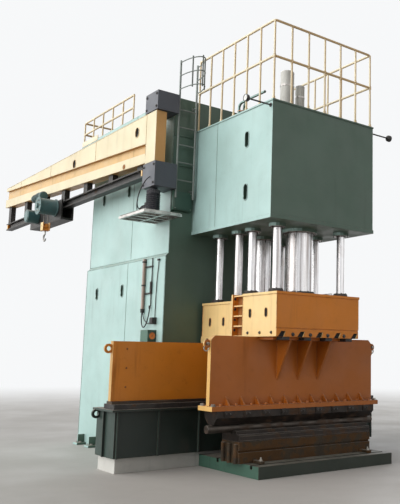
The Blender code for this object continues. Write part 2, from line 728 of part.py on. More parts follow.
def build_rear_bed(green, dark, pale, timber):
    """The rear bed: a plinth, a ribbed box with its top flange, a lower die and packing."""
    length = REAR_BED_HALF_LENGTH
    plinth = box((-length + PLINTH_INSET, REAR_BED_FRONT_Y + PLINTH_INSET, 0.0),
                 (length - PLINTH_INSET, REAR_BED_BACK_Y, REAR_BED_BOTTOM_Z - GAP))
    part("rear_plinth", pale, [plinth])
    box_top = REAR_BED_TOP_Z - REAR_BED_FLANGE
    shapes = [box((-length, REAR_BED_FRONT_Y, REAR_BED_BOTTOM_Z),
                  (length, REAR_BED_BACK_Y, box_top + REAR_RIB))]
    for share in REAR_RIB_PLACE_SHARES:
        x = share * length
        shapes.append(box((x - REAR_RIB / 2, REAR_BED_FRONT_Y - REAR_RIB_REACH, REAR_BED_BOTTOM_Z),
                          (x + REAR_RIB / 2, REAR_BED_FRONT_Y + REAR_RIB, box_top + REAR_RIB / 2)))
    for side in both_sides(1):
        near = side * (length - REAR_RIB)
        far = side * (length + REAR_RIB_REACH)
        middle = (REAR_BED_FRONT_Y + REAR_BED_BACK_Y) / 2
        shapes.append(box((min(near, far), middle, REAR_BED_BOTTOM_Z),
                          (max(near, far), middle + REAR_RIB, box_top)))
    lip = length + REAR_BED_LIP + REAR_RIB_REACH
    shapes.append(box((-lip, REAR_BED_FRONT_Y - REAR_BED_LIP - REAR_RIB_REACH, box_top),
                      (lip, REAR_BED_BACK_Y, REAR_BED_TOP_Z)))
    y = REAR_BED_BACK_Y - LUG_RADIUS
    for side in both_sides(1):
        centre = (box_top - LUG_DROP / 2, side * (length + LUG_HOLE + LUG_SEAT))
        shapes.append(sleeve("y", centre, LUG_HOLE, LUG_RADIUS, y - LUG_PLATE, y, SMALL_SIDES * 2))
    part("rear_bed", green, shapes)
    front = REAR_WEB_FRONT_Y
    back = REAR_WEB_FRONT_Y + REAR_WEB
    half = REAR_BEAM_HALF_LENGTH
    die = box((-half, front - REAR_DIE_REACH, REAR_BED_TOP_Z + GAP),
              (half, back + REAR_DIE_REACH, REAR_DIE_TOP_Z))
    part("rear_lower_die", dark, [die])
    strip = box((-half, front - PACKING_FRONT_REACH, REAR_DIE_TOP_Z + GAP),
                (half, back + PACKING_BACK_REACH, PACKING_TOP_Z))
    part("packing_strip", timber, [strip])


def slide_slots(rows):
    """Cutters for the oval holes in both sides of a slide block."""
    cuts = []
    for y, z in rows:
        slot = stadium((y, z), SLIDE_SLOT_WIDTH, SLIDE_SLOT_HEIGHT)
        cuts += side_pair(slot, SLIDE_HALF_WIDTH - SLIDE_SLOT_DEPTH, SLIDE_HALF_WIDTH + OVERRUN)
    return cuts


def block_rods(front):
    """The rods that stand on the front or on the rear block."""
    return [row for row in rod_rows() if (row[1] < SLIDE_JOINT_Y) == front]


def rod_collars(top, front):
    """The raised collar round each rod on one block."""
    return [rod("z", (x, y), radius + COLLAR_WALL, top - SLIDE_LIP, top + COLLAR_HEIGHT, sides)
            for x, y, radius, sides in block_rods(front)]


def collar_bores(top, front):
    """The seats that the rods stand in, as deep as the collars are high."""
    return [rod("z", (x, y), radius + GAP, top, top + COLLAR_HEIGHT + OVERRUN, sides)
            for x, y, radius, sides in block_rods(front)]


def slide_pockets():
    """Cutters for the slanting pockets in the front of the base band."""
    low = SLIDE_BOTTOM_Z - OVERRUN
    high = SLIDE_BOTTOM_Z + POCKET_HEIGHT
    end = SLIDE_HALF_WIDTH - POCKET_WIDTH / 2 - SLIDE_LIP
    pockets = []
    for x in spread(-end, end, POCKET_COUNT):
        outline = [(low, x - POCKET_WIDTH / 2), (low, x + POCKET_WIDTH * POCKET_SLANT_SHARE),
                   (high, x + POCKET_WIDTH / 2), (high, x)]
        pockets.append(prism("y", outline, SLIDE_FRONT_Y - OVERRUN, SLIDE_FRONT_Y + POCKET_DEPTH))
    return pockets


def build_front_block(yellow, parent):
    """The front slide block, with a ladder of gussets behind its joint flange."""
    half = SLIDE_HALF_WIDTH
    neck = half - JOINT_NECK_INSET
    flange_front = SLIDE_JOINT_Y - JOINT_FLANGE
    neck_front = flange_front - JOINT_NECK_LENGTH
    seam_z = SLIDE_BOTTOM_Z + SLIDE_BASE_HEIGHT
    top = SLIDE_TOP_Z
    edge = half + SLIDE_LIP
    shapes = [
        box((-half, SLIDE_FRONT_Y, SLIDE_BOTTOM_Z), (half, neck_front, top - SLIDE_TOP_PLATE / 2)),
        box((-edge, SLIDE_FRONT_Y - SLIDE_LIP, top - SLIDE_TOP_PLATE), (edge, neck_front, top)),
        box((-neck, neck_front - OVERRUN, SLIDE_BOTTOM_Z),
            (neck, SLIDE_JOINT_Y - JOINT_FLANGE / 2, top - SLIDE_LIP)),
    ]
    for z in spread(SLIDE_BOTTOM_Z, top - SLIDE_TOP_PLATE, LADDER_STEPS):
        shapes.append(box((-half, neck_front - OVERRUN / 2, z),
                          (half, flange_front + JOINT_FLANGE / 2, z + LADDER_PLATE)))
    wide = half + JOINT_FLANGE_LIP
    shapes.append(box((-wide, flange_front, SLIDE_BOTTOM_Z), (wide, SLIDE_JOINT_Y, top)))
    slot_z = top - SLIDE_SLOT_DROP
    rows = [(SLIDE_FRONT_Y + SLIDE_SLOT_SETBACK + step * SLIDE_SLOT_SPACING, slot_z) for step in (0, 1)]
    cuts = slide_slots(rows)
    cuts += slide_pockets()
    cuts.append(box((-half - OVERRUN, SLIDE_FRONT_Y - OVERRUN, seam_z),
                    (half + OVERRUN, SLIDE_FRONT_Y + SEAM_DEPTH, seam_z + SEAM_HEIGHT)))
    shapes += rod_collars(SLIDE_TOP_Z, True)
    cuts += collar_bores(SLIDE_TOP_Z, True)
    part("slide_front_block", yellow, shapes, cuts=cuts, parent=parent)


def build_rear_block(yellow, parent):
    """The lower rear slide block, bolted to the front block at its joint flange."""
    half = SLIDE_HALF_WIDTH
    edge = half + SLIDE_LIP
    wide = half + JOINT_FLANGE_LIP
    back = REAR_BACK_Y + SLIDE_LIP
    front = SLIDE_JOINT_Y + GAP
    top = REAR_TOP_Z
    shapes = [
        box((-half, front + REAR_SHELL_SET_BACK, REAR_BOTTOM_Z),
            (half, REAR_BACK_Y, top - SLIDE_TOP_PLATE / 2)),
        box((-edge, front + REAR_PLATE_SET_BACK, top - SLIDE_TOP_PLATE), (edge, back, top)),
        box((-edge, front + REAR_BASE_SET_BACK, REAR_BOTTOM_Z),
            (edge, back, REAR_BOTTOM_Z + SLIDE_BASE_HEIGHT)),
        box((-wide, front, REAR_BOTTOM_Z + SLIDE_LIP), (wide, front + JOINT_FLANGE, top - SLIDE_LIP)),
    ]
    slot_z = top - SLIDE_SLOT_DROP - SLIDE_LIP
    rows = [(REAR_BACK_Y - REAR_SLOT_SETBACK - step * REAR_SLOT_SPACING, slot_z) for step in (0, 1)]
    shapes = rod_collars(REAR_TOP_Z, False) + shapes
    cuts = slide_slots(rows) + collar_bores(REAR_TOP_Z, False)
    part("slide_rear_block", yellow, shapes, cuts=cuts, parent=parent)


def build_rods(chrome, parent):
    """The plungers and guide rods, standing in their collars on the slide."""
    high = HEAD_FLOOR_TOP_Z + PLUNGER_INSIDE
    for name, (y, radius), low in (("front_plunger", plunger_rows()[0], SLIDE_TOP_Z),
                                   ("rear_plunger", plunger_rows()[1], REAR_TOP_Z)):
        plunger = rod("z", (0.0, y), radius, low + GAP, high)
        part(name, chrome, [plunger], parent=parent, smooth=True)
    high = HEAD_FLOOR_TOP_Z + GUIDE_INSIDE
    for number, xy in enumerate(GUIDE_PLACES, start=1):
        low = SLIDE_TOP_Z if number <= FRONT_GUIDE_COUNT else REAR_TOP_Z
        part(f"guide_rod_{number}", chrome, [rod("z", xy, GUIDE_RADIUS, low + GAP, high, GUIDE_SIDES)],
             parent=parent, smooth=True)


def build_die_beam(yellow, parent):
    """The front die beam: a thick web with a bottom flange, small ribs and large gussets."""
    half = BEAM_HALF_LENGTH
    corner = BEAM_CORNER
    outline = [(BEAM_BOTTOM_Z, -half), (BEAM_BOTTOM_Z, half), (BEAM_TOP_Z - corner, half),
               (BEAM_TOP_Z, half - corner), (BEAM_TOP_Z, -half + corner), (BEAM_TOP_Z - corner, -half)]
    shapes = [prism("y", outline, BEAM_WEB_FRONT_Y, BEAM_WEB_BACK_Y)]
    flange_front = BEAM_WEB_FRONT_Y - BEAM_FLANGE_FRONT
    flange_back = BEAM_WEB_BACK_Y + BEAM_FLANGE_BACK
    for x in spread(-half + BEAM_RIB_END, half - BEAM_RIB_END, BEAM_RIB_COUNT):
        for root, reach in ((BEAM_WEB_FRONT_Y, -BEAM_RIB_REACH), (BEAM_WEB_BACK_Y, BEAM_RIB_REACH)):
            inside = root - math.copysign(RIB_ROOT, reach)
            foot = BEAM_FLANGE_TOP_Z - BEAM_FLANGE / 2
            rib_top = BEAM_FLANGE_TOP_Z + BEAM_RIB_HEIGHT
            rib = [(inside, foot), (root + reach, foot), (root + reach, BEAM_FLANGE_TOP_Z),
                   (root, rib_top), (inside, rib_top)]
            shapes.append(prism("x", rib, x - BEAM_RIB_PLATE / 2, x + BEAM_RIB_PLATE / 2))
    for step in range(GUSSET_COUNT):
        x = (step - (GUSSET_COUNT - 1) / 2) * GUSSET_SPACING
        for root, reach in ((BEAM_WEB_FRONT_Y, -GUSSET_REACH), (BEAM_WEB_BACK_Y, BEAM_PAD_BACK)):
            inside = root - math.copysign(RIB_ROOT, reach)
            head = BEAM_TOP_Z - BEAM_PAD / 2
            tip = BEAM_TOP_Z - GUSSET_HEIGHT
            gusset = [(inside, head), (root + reach, head), (root, tip), (inside, tip)]
            shapes.append(prism("x", gusset, x - GUSSET_PLATE / 2, x + GUSSET_PLATE / 2))
    pad_front = BEAM_WEB_FRONT_Y - GUSSET_REACH - SLIDE_LIP
    pad_back = BEAM_WEB_BACK_Y + BEAM_PAD_BACK + SLIDE_LIP
    shapes.append(box((-BEAM_PAD_HALF_LENGTH, pad_front, BEAM_TOP_Z - BEAM_PAD),
                      (BEAM_PAD_HALF_LENGTH, pad_back, BEAM_TOP_Z)))
    over = half + BEAM_FLANGE_OVERHANG
    shapes.append(box((-over, flange_front, BEAM_BOTTOM_Z), (over, flange_back, BEAM_FLANGE_TOP_Z)))
    for side in both_sides(1):
        centre = (BEAM_TOP_Z - BEAM_CORNER - SHACKLE_DROP / 2, side * (half + SHACKLE_HOLE + SHACKLE_SEAT))
        shapes.append(sleeve("y", centre, SHACKLE_HOLE, SHACKLE_RADIUS, PRESS_LINE_Y - SHACKLE_PLATE / 2,
                             PRESS_LINE_Y + SHACKLE_PLATE / 2, SMALL_SIDES * 2))
    bolts = []
    y = flange_front + FLANGE_BOLT_RADIUS * 2
    low = BEAM_FLANGE_TOP_Z - FLANGE_BOLT_ROOT
    high = BEAM_FLANGE_TOP_Z + FLANGE_BOLT_HEIGHT
    for x in spread(-half + BEAM_RIB_END / 2, half - BEAM_RIB_END / 2, FLANGE_BOLT_COUNT):
        if clear_of_ribs(x):
            bolts.append(rod("z", (x, y), FLANGE_BOLT_RADIUS, low, high, FLANGE_BOLT_SIDES))
    clamps = []
    y = SLIDE_FRONT_Y + SLIDE_LIP
    high = SLIDE_BOTTOM_Z - GAP
    end = BEAM_PAD_HALF_LENGTH - CLAMP_LENGTH
    for x in spread(-end, end, CLAMP_COUNT):
        clamps.append(box((x - CLAMP_LENGTH / 2, y, high - CLAMP_HEIGHT),
                          (x + CLAMP_LENGTH / 2, pad_front + CLAMP_WIDTH, high)))
    part("die_beam", yellow, bolts + clamps + shapes, parent=parent)


def clear_of_ribs(x):
    """Whether a bolt at this place stands between the flange's ribs."""
    end = BEAM_HALF_LENGTH - BEAM_RIB_END
    room = FLANGE_BOLT_RADIUS + BEAM_RIB_PLATE
    return all(abs(x - rib) > room for rib in spread(-end, end, BEAM_RIB_COUNT))


def build_front_tools(dark, steel, parent):
    """The upper die, tapered to a foot, and the round punch bar below it."""
    top = BEAM_BOTTOM_Z - GAP
    foot = PUNCH_CENTRE_Z + PUNCH_RADIUS + GAP
    neck = top - UPPER_DIE_NECK_HEIGHT
    outline = [(-UPPER_DIE_FOOT_HALF, foot), (UPPER_DIE_FOOT_HALF, foot), (UPPER_DIE_TOP_HALF, neck),
               (UPPER_DIE_TOP_HALF, top), (-UPPER_DIE_TOP_HALF, top), (-UPPER_DIE_TOP_HALF, neck)]
    outline = [(PRESS_LINE_Y + y, z) for y, z in outline]
    die = prism("x", outline, -UPPER_DIE_HALF_LENGTH, UPPER_DIE_HALF_LENGTH)
    part("upper_die", dark, [die], parent=parent)
    centre = (PRESS_LINE_Y, PUNCH_CENTRE_Z)
    bar = rod("x", centre, PUNCH_RADIUS, -PUNCH_HALF_LENGTH, PUNCH_HALF_LENGTH)
    part("punch_bar", steel, [bar], parent=parent, smooth=True)


def build_rear_beam(yellow, parent):
    """The long rear die beam under the rear block, with a lifting ring at each end."""
    half = REAR_BEAM_HALF_LENGTH
    back = REAR_WEB_FRONT_Y + REAR_WEB
    shapes = [
        box((-half, REAR_WEB_FRONT_Y, REAR_BEAM_BOTTOM_Z), (half, back, REAR_BEAM_TOP_Z)),
        box((-BEAM_PAD_HALF_LENGTH, REAR_WEB_FRONT_Y - REAR_PAD_REACH, REAR_BEAM_TOP_Z - BEAM_PAD),
            (BEAM_PAD_HALF_LENGTH, back + REAR_PAD_REACH, REAR_BEAM_TOP_Z)),
    ]
    middle = REAR_WEB_FRONT_Y + REAR_WEB / 2
    for side in both_sides(1):
        centre = (REAR_BEAM_TOP_Z - LUG_DROP, side * (half + LUG_HOLE + LUG_SEAT))
        shapes.append(sleeve("y", centre, LUG_HOLE, LUG_RADIUS, middle - LUG_PLATE / 2,
                             middle + LUG_PLATE / 2, SMALL_SIDES * 2))
    part("rear_beam", yellow, shapes, parent=parent)


def build_rails(yellow, green):
    """The guard rail of the roof, and the rear platform with its own rail."""
    x = HEAD_HALF_WIDTH - RAIL_INSET
    front = HEAD_FRONT_Y + RAIL_INSET
    back = COLUMN_FRONT_Y - RAIL_INSET
    low = ROOF_TOP_Z + GAP
    shapes = []
    for place_x in spread(-x, x, FRONT_POST_COUNT):
        shapes.append(rod("z", (place_x, front), POST_RADIUS, low, RAIL_TOP_Z, TUBE_SIDES))
    for side in both_sides(x):
        for place_y in spread(front, back, SIDE_POST_COUNT)[1:]:
            shapes.append(rod("z", (side, place_y), POST_RADIUS, low, RAIL_TOP_Z, TUBE_SIDES))
    for z in (RAIL_MID_Z, RAIL_TOP_Z):
        shapes.append(pipe([(-x, back, z), (-x, front, z), (x, front, z), (x, back, z)], RAIL_RADIUS))
    part("guard_rail", yellow, shapes)
    wide = COLUMN_UPPER_HALF_WIDTH
    plate_top = PLATFORM_Z + PLATFORM_THICKNESS
    near = COLUMN_BACK_Y + GAP
    shapes = []
    inside_z = PLATFORM_Z + PLATFORM_THICKNESS / 2
    for side in spread(-wide + BRACKET_PLATE / 2, wide - BRACKET_PLATE / 2, BRACKET_COUNT):
        outline = [(near, PLATFORM_Z - BRACKET_DROP),
                   (near + PLATFORM_REACH * BRACKET_REACH_SHARE, inside_z), (near, inside_z)]
        shapes.append(prism("x", outline, side - BRACKET_PLATE / 2, side + BRACKET_PLATE / 2))
    shapes.append(box((-wide, near, PLATFORM_Z), (wide, near + PLATFORM_REACH, plate_top)))
    part("rear_platform", green, shapes)
    inner = wide - RAIL_INSET
    start = REAR_RAIL_START_Y
    end = near + PLATFORM_REACH - RAIL_INSET
    shapes = []
    for side in both_sides(inner):
        for y in spread(start, end, REAR_POST_COUNT):
            base = (COLUMN_TOP_Z if y < COLUMN_BACK_Y else plate_top) + GAP
            shapes.append(rod("z", (side, y), POST_RADIUS, base, REAR_RAIL_TOP_Z, TUBE_SIDES))
    for z in (REAR_RAIL_TOP_Z, (REAR_RAIL_TOP_Z + COLUMN_TOP_Z) / 2):
        path = [(-inner, start, z), (-inner, end, z), (inner, end, z), (inner, start, z)]
        shapes.append(pipe(path, RAIL_RADIUS))
    part("rear_rail", yellow, shapes)


def build_ladder(trim):
    """The ladder up the column's front step, with safety hoops above the roof."""
    y = COLUMN_FRONT_Y - LADDER_STANDOFF
    shapes = []
    for side in both_sides(LADDER_HALF_WIDTH):
        stile_x = LADDER_X + side
        shapes.append(rod("z", (stile_x, y), LADDER_TUBE, LADDER_BOTTOM_Z, LADDER_TOP_Z, TUBE_SIDES))
        for z in (LADDER_BOTTOM_Z + LADDER_PITCH / 2, COLUMN_TOP_Z - LADDER_PITCH / 2):
            arm = [(stile_x, y, z), (stile_x, COLUMN_FRONT_Y - GAP, z)]
            shapes.append(pipe(arm, LADDER_ARM, LADDER_ARM_SIDES))
    rungs = int((LADDER_TOP_Z - LADDER_BOTTOM_Z) / LADDER_PITCH)
    for step in range(1, rungs + 1):
        z = LADDER_BOTTOM_Z + step * LADDER_PITCH
        if z < COLUMN_TOP_Z:
            rung = [(LADDER_X - LADDER_HALF_WIDTH, y, z), (LADDER_X + LADDER_HALF_WIDTH, y, z)]
            shapes.append(pipe(rung, RUNG_RADIUS, LADDER_ARM_SIDES))
    for step in range(HOOP_COUNT):
        z = LADDER_TOP_Z - LADDER_TUBE * 2 - step * HOOP_PITCH
        arc = []
        for angle in spread(0.0, -math.pi, HOOP_POINTS):
            arc.append((LADDER_X + LADDER_HALF_WIDTH * math.cos(angle), y + HOOP_DEPTH * math.sin(angle), z))
        shapes.append(pipe(arc, HOOP_TUBE, LADDER_ARM_SIDES))
    part("access_ladder", trim, shapes)


def build_roof_machinery(pale, dark, trim):
    """The prefill tanks, the pump set and the valve block with its pipes on the roof."""
    low = ROOF_TOP_Z + GAP
    skid_top = low + SKID_HEIGHT
    reach = TANK_RADIUS + SKID_HEIGHT
    tanks = [box((TANK_X - reach, TANK_Y - reach, low), (SMALL_TANK_X + reach, TANK_Y + reach, skid_top))]
    for x, radius, height in ((TANK_X, TANK_RADIUS, TANK_HEIGHT),
                              (SMALL_TANK_X, SMALL_TANK_RADIUS, SMALL_TANK_HEIGHT)):
        tanks.append(rod("z", (x, TANK_Y), radius, low + SKID_HEIGHT / 2, low + height, SMALL_SIDES * 2))
    part("prefill_tanks", pale, tanks, smooth=True)
    axis_z = low + PUMP_FOOT + PUMP_RADIUS
    left = TANK_X - PUMP_LENGTH / 2
    right = TANK_X + PUMP_LENGTH / 2
    shapes = [rod("x", (PUMP_Y, axis_z), PUMP_RADIUS, left, right, SMALL_SIDES * 2),
              box((left + PUMP_FOOT, PUMP_Y - PUMP_RADIUS, low),
                  (right - PUMP_FOOT, PUMP_Y + PUMP_RADIUS, axis_z - PUMP_RADIUS / 2))]
    part("pump_set", dark, shapes, smooth=True)
    half = VALVE_BLOCK_WIDTH / 2
    x, y = VALVE_BLOCK_X, VALVE_BLOCK_Y
    top = low + VALVE_BLOCK_HEIGHT
    shapes = [box((x - half, y - half, low), (x + half, y + half, top))]
    start_z = top + PIPE_RISE / 2
    centre_y = y - PIPE_BEND
    for place_share, height_share in zip(PIPE_PLACE_SHARES, PIPE_HEIGHT_SHARES):
        pipe_x = x + place_share * half
        rise = PIPE_RISE / 2 * height_share
        bend = [(pipe_x, y, top - half / 2)]
        for angle in spread(0.0, RIGHT_ANGLE, PIPE_BEND_POINTS):
            bend.append((pipe_x, centre_y + PIPE_BEND * math.cos(angle), start_z + rise * math.sin(angle)))
        bend.append((pipe_x, centre_y - PIPE_RUN * (1 + place_share), start_z + rise))
        shapes.append(pipe(bend, PIPE_RADIUS))
    part("valve_pipes", trim, shapes)


def build_lamps(dark):
    """A flood lamp on a thin arm at each front corner of the head."""
    for name, side in (("left_lamp", -1), ("right_lamp", 1)):
        root = side * (HEAD_HALF_WIDTH + GAP)
        tip = root + side * LAMP_REACH
        y = HEAD_FRONT_Y + LAMP_RADIUS
        far = tip + side * LAMP_LENGTH
        profile = [(LAMP_ARM_RADIUS, root), (LAMP_ARM_RADIUS, tip),
                   (LAMP_RADIUS, tip + side * LAMP_RADIUS / 2), (LAMP_RADIUS, far)]
        part(name, dark, [turned_solid("x", (y, LAMP_Z), profile, SMALL_SIDES * 2)], smooth=True)


def build_side_fittings(green, dark):
    """The conduit, hose loop, junction box and dial box on the column's left side."""
    face = -COLUMN_HALF_WIDTH - GAP
    x = face - CONDUIT_RADIUS
    conduit = rod("z", (x, CONDUIT_Y), CONDUIT_RADIUS, CONDUIT_BOTTOM_Z, COLUMN_STEP_Z, SMALL_SIDES)
    x = face - HOSE_RADIUS
    loop = [(x, HOSE_Y, COLUMN_STEP_Z)]
    centre_y = HOSE_Y - HOSE_SWING
    for angle in spread(0.0, math.pi, HOSE_POINTS):
        sag = HOSE_SWING * math.sin(angle) * HOSE_SAG_SHARE
        loop.append((x, centre_y + HOSE_SWING * math.cos(angle), HOSE_LOOP_Z + HOSE_SWING - sag))
    loop.append((x, centre_y - HOSE_SWING, COLUMN_STEP_Z - HOSE_END_DROP))
    junction = box((face - BOX_REACH / 2, JUNCTION_Y - JUNCTION_HALF, JUNCTION_LOW_Z),
                   (face, JUNCTION_Y + JUNCTION_HALF, JUNCTION_LOW_Z + JUNCTION_HEIGHT))
    clip_end = CONDUIT_Y + CONDUIT_RADIUS + CLIP_REACH
    clips = [box((face - CLIP_REACH, JUNCTION_Y, z), (face, clip_end, z + CLIP_REACH)) for z in CLIP_HEIGHTS]
    part("conduit", dark, [junction, conduit, pipe(loop, HOSE_RADIUS), *clips])
    top = SWITCH_BOX_LOW_Z + SWITCH_BOX_HEIGHT
    part("dial_box", green, [box((face - BOX_REACH, SWITCH_BOX_Y - SWITCH_BOX_HALF, SWITCH_BOX_LOW_Z),
                                 (face, SWITCH_BOX_Y + SWITCH_BOX_HALF, top))])


def build_jib_brackets(dark, steel):
    """The two fixed brackets that hold the jib's pivot pins, and the slewing drive below."""
    face = -COLUMN_UPPER_HALF_WIDTH - GAP
    left = PIVOT_X - JIB_HALF_WIDTH - HUB_CLEARANCE
    y = (PIVOT_Y - BRACKET_HALF_DEPTH, PIVOT_Y + BRACKET_HALF_DEPTH)
    upper_low = JIB_TOP_Z + HUB_CLEARANCE
    lower_high = JIB_BOTTOM_FRONT_Z - HUB_CLEARANCE
    hole = PIN_RADIUS + PIN_CLEARANCE
    for name, low, high in (("upper_bracket", upper_low, upper_low + BRACKET_HEIGHT),
                            ("lower_bracket", lower_high - LOWER_BRACKET_HEIGHT, lower_high)):
        bore = rod("z", (PIVOT_X, PIVOT_Y), hole, low - OVERRUN, high + OVERRUN, SMALL_SIDES * 2)
        part(name, dark, [box((left, y[0], low), (face, y[1], high))], cuts=[bore])
    drive_top = lower_high - LOWER_BRACKET_HEIGHT - GAP
    floor_top = DRIVE_FLOOR_Z + PLATFORM_BAR
    shapes = [rod("z", (PIVOT_X, PIVOT_Y), DRIVE_RADIUS, floor_top + GAP, drive_top, SMALL_SIDES * 2),
              rod("y", (floor_top + DRIVE_RADIUS, PIVOT_X), DRIVE_MOTOR_RADIUS, PIVOT_Y,
                  PIVOT_Y + DRIVE_MOTOR_LENGTH, SMALL_SIDES * 2)]
    part("slewing_drive", dark, shapes, smooth=True)
    shapes = []
    edge = face - DRIVE_FLOOR_REACH
    start = PIVOT_Y - DRIVE_FLOOR_HALF_LENGTH
    end = PIVOT_Y + DRIVE_FLOOR_HALF_LENGTH
    for y in spread(start + PLATFORM_BAR / 2, end - PLATFORM_BAR / 2, PLATFORM_BAR_COUNT):
        shapes.append(box((edge, y - PLATFORM_BAR / 2, DRIVE_FLOOR_Z),
                          (face, y + PLATFORM_BAR / 2, floor_top)))
    for x in (edge, PIVOT_X - PLATFORM_BAR / 2):
        shapes.append(box((x, start, DRIVE_FLOOR_Z), (x + PLATFORM_BAR, end, floor_top)))
    shapes.append(box((face - PLATFORM_BAR, start, DRIVE_FLOOR_Z), (face, end, floor_top)))
    part("drive_platform", steel, shapes)


def rising(y, front_z, rise):
    """A height that rises evenly from the jib's front end to its far end."""
    return front_z + rise * (y - JIB_FRONT_Y) / (JIB_FAR_Y - JIB_FRONT_Y)


def sloped_plate(x_half, start, low, high):
    """A long plate of the jib between two rising or level heights."""
    end = JIB_FAR_Y
    outline = [(start, low(start)), (end, low(end)), (end, high(end)), (start, high(start))]
    return prism("x", outline, PIVOT_X - x_half, PIVOT_X + x_half)


def jib_bottom(y):
    """The height of the jib's rising underside."""
    return rising(y, JIB_BOTTOM_FRONT_Z, JIB_BOTTOM_RISE)


def band_bottom(y):
    """The height of the lower edge of the recessed web band."""
    return rising(y, WEB_BAND_FRONT_Z, WEB_BAND_RISE)


def box_bottom(y):
    """The height of the upper box's rising underside."""
    return rising(y, UPPER_BOX_FRONT_Z, UPPER_BOX_RISE)


def build_jib(yellow, shade, dark, parent):
    """The slewing jib: hub, deep upper box, recessed web, lower box and level runway."""
    origin = (PIVOT_X, PIVOT_Y, JIB_BOTTOM_FRONT_Z)
    hub_end = JIB_FRONT_Y + JIB_HUB_LENGTH
    pin_low = JIB_BOTTOM_FRONT_Z - LOWER_BRACKET_HEIGHT
    shapes = [box((PIVOT_X - JIB_HALF_WIDTH, JIB_FRONT_Y, JIB_BOTTOM_FRONT_Z),
                  (PIVOT_X + JIB_HALF_WIDTH, hub_end, JIB_TOP_Z)),
              rod("z", (PIVOT_X, PIVOT_Y), PIN_RADIUS, pin_low, JIB_TOP_Z + BRACKET_HEIGHT, SMALL_SIDES * 2)]
    part("jib_hub", yellow, shapes, origin=origin, parent=parent)
    start = hub_end + GAP
    face = PIVOT_X - JIB_HALF_WIDTH
    slots = []
    for y in JIB_SLOT_PLACES:
        slot = stadium((y, JIB_SLOT_Z), JIB_SLOT_WIDTH, JIB_SLOT_HEIGHT)
        slots.append(prism("x", slot, face - OVERRUN, face + JIB_SLOT_DEPTH))
    upper = sloped_plate(JIB_HALF_WIDTH, start, box_bottom, lambda y: JIB_TOP_Z)
    part("jib_upper_box", yellow, [upper], origin=origin, cuts=slots, parent=parent)
    band = sloped_plate(JIB_HALF_WIDTH - WEB_BAND_INSET, start, lambda y: band_bottom(y) + GAP,
                        lambda y: box_bottom(y) - GAP)
    part("jib_web", shade, [band], origin=origin, parent=parent)
    lower = sloped_plate(JIB_HALF_WIDTH, start, jib_bottom, band_bottom)
    part("jib_lower_box", yellow, [lower], origin=origin, parent=parent)
    build_runway(dark, origin, parent)


def build_runway(dark, origin, parent):
    """The level runway beam, hung from the jib's rising underside."""
    wide, thin = RUNWAY_HALF_WIDTH, RUNWAY_WEB / 2
    bottom, top = RUNWAY_BOTTOM_Z, RUNWAY_BOTTOM_Z + RUNWAY_HEIGHT
    foot, cap = bottom + RUNWAY_FLANGE, top - RUNWAY_FLANGE
    outline = [(-wide, bottom), (wide, bottom), (wide, foot), (thin, foot), (thin, cap), (wide, cap),
               (wide, top), (-wide, top), (-wide, cap), (-thin, cap), (-thin, foot), (-wide, foot)]
    outline = [(z, PIVOT_X + x) for x, z in outline]
    far = JIB_FAR_Y - RUNWAY_END
    hangers = []
    for y in spread(RUNWAY_FRONT_Y + HANGER_LENGTH, far - HANGER_LENGTH, HANGER_COUNT):
        near, away = y - HANGER_LENGTH / 2, y + HANGER_LENGTH / 2
        low = top - RUNWAY_FLANGE / 2
        hanger = [(near, low), (away, low), (away, jib_bottom(away) - GAP), (near, jib_bottom(near) - GAP)]
        hangers.append(prism("x", hanger, PIVOT_X - HANGER_HALF_WIDTH, PIVOT_X + HANGER_HALF_WIDTH))
    shapes = [*hangers, prism("y", outline, RUNWAY_FRONT_Y, far)]
    part("runway_rail", dark, shapes, origin=origin, parent=parent)


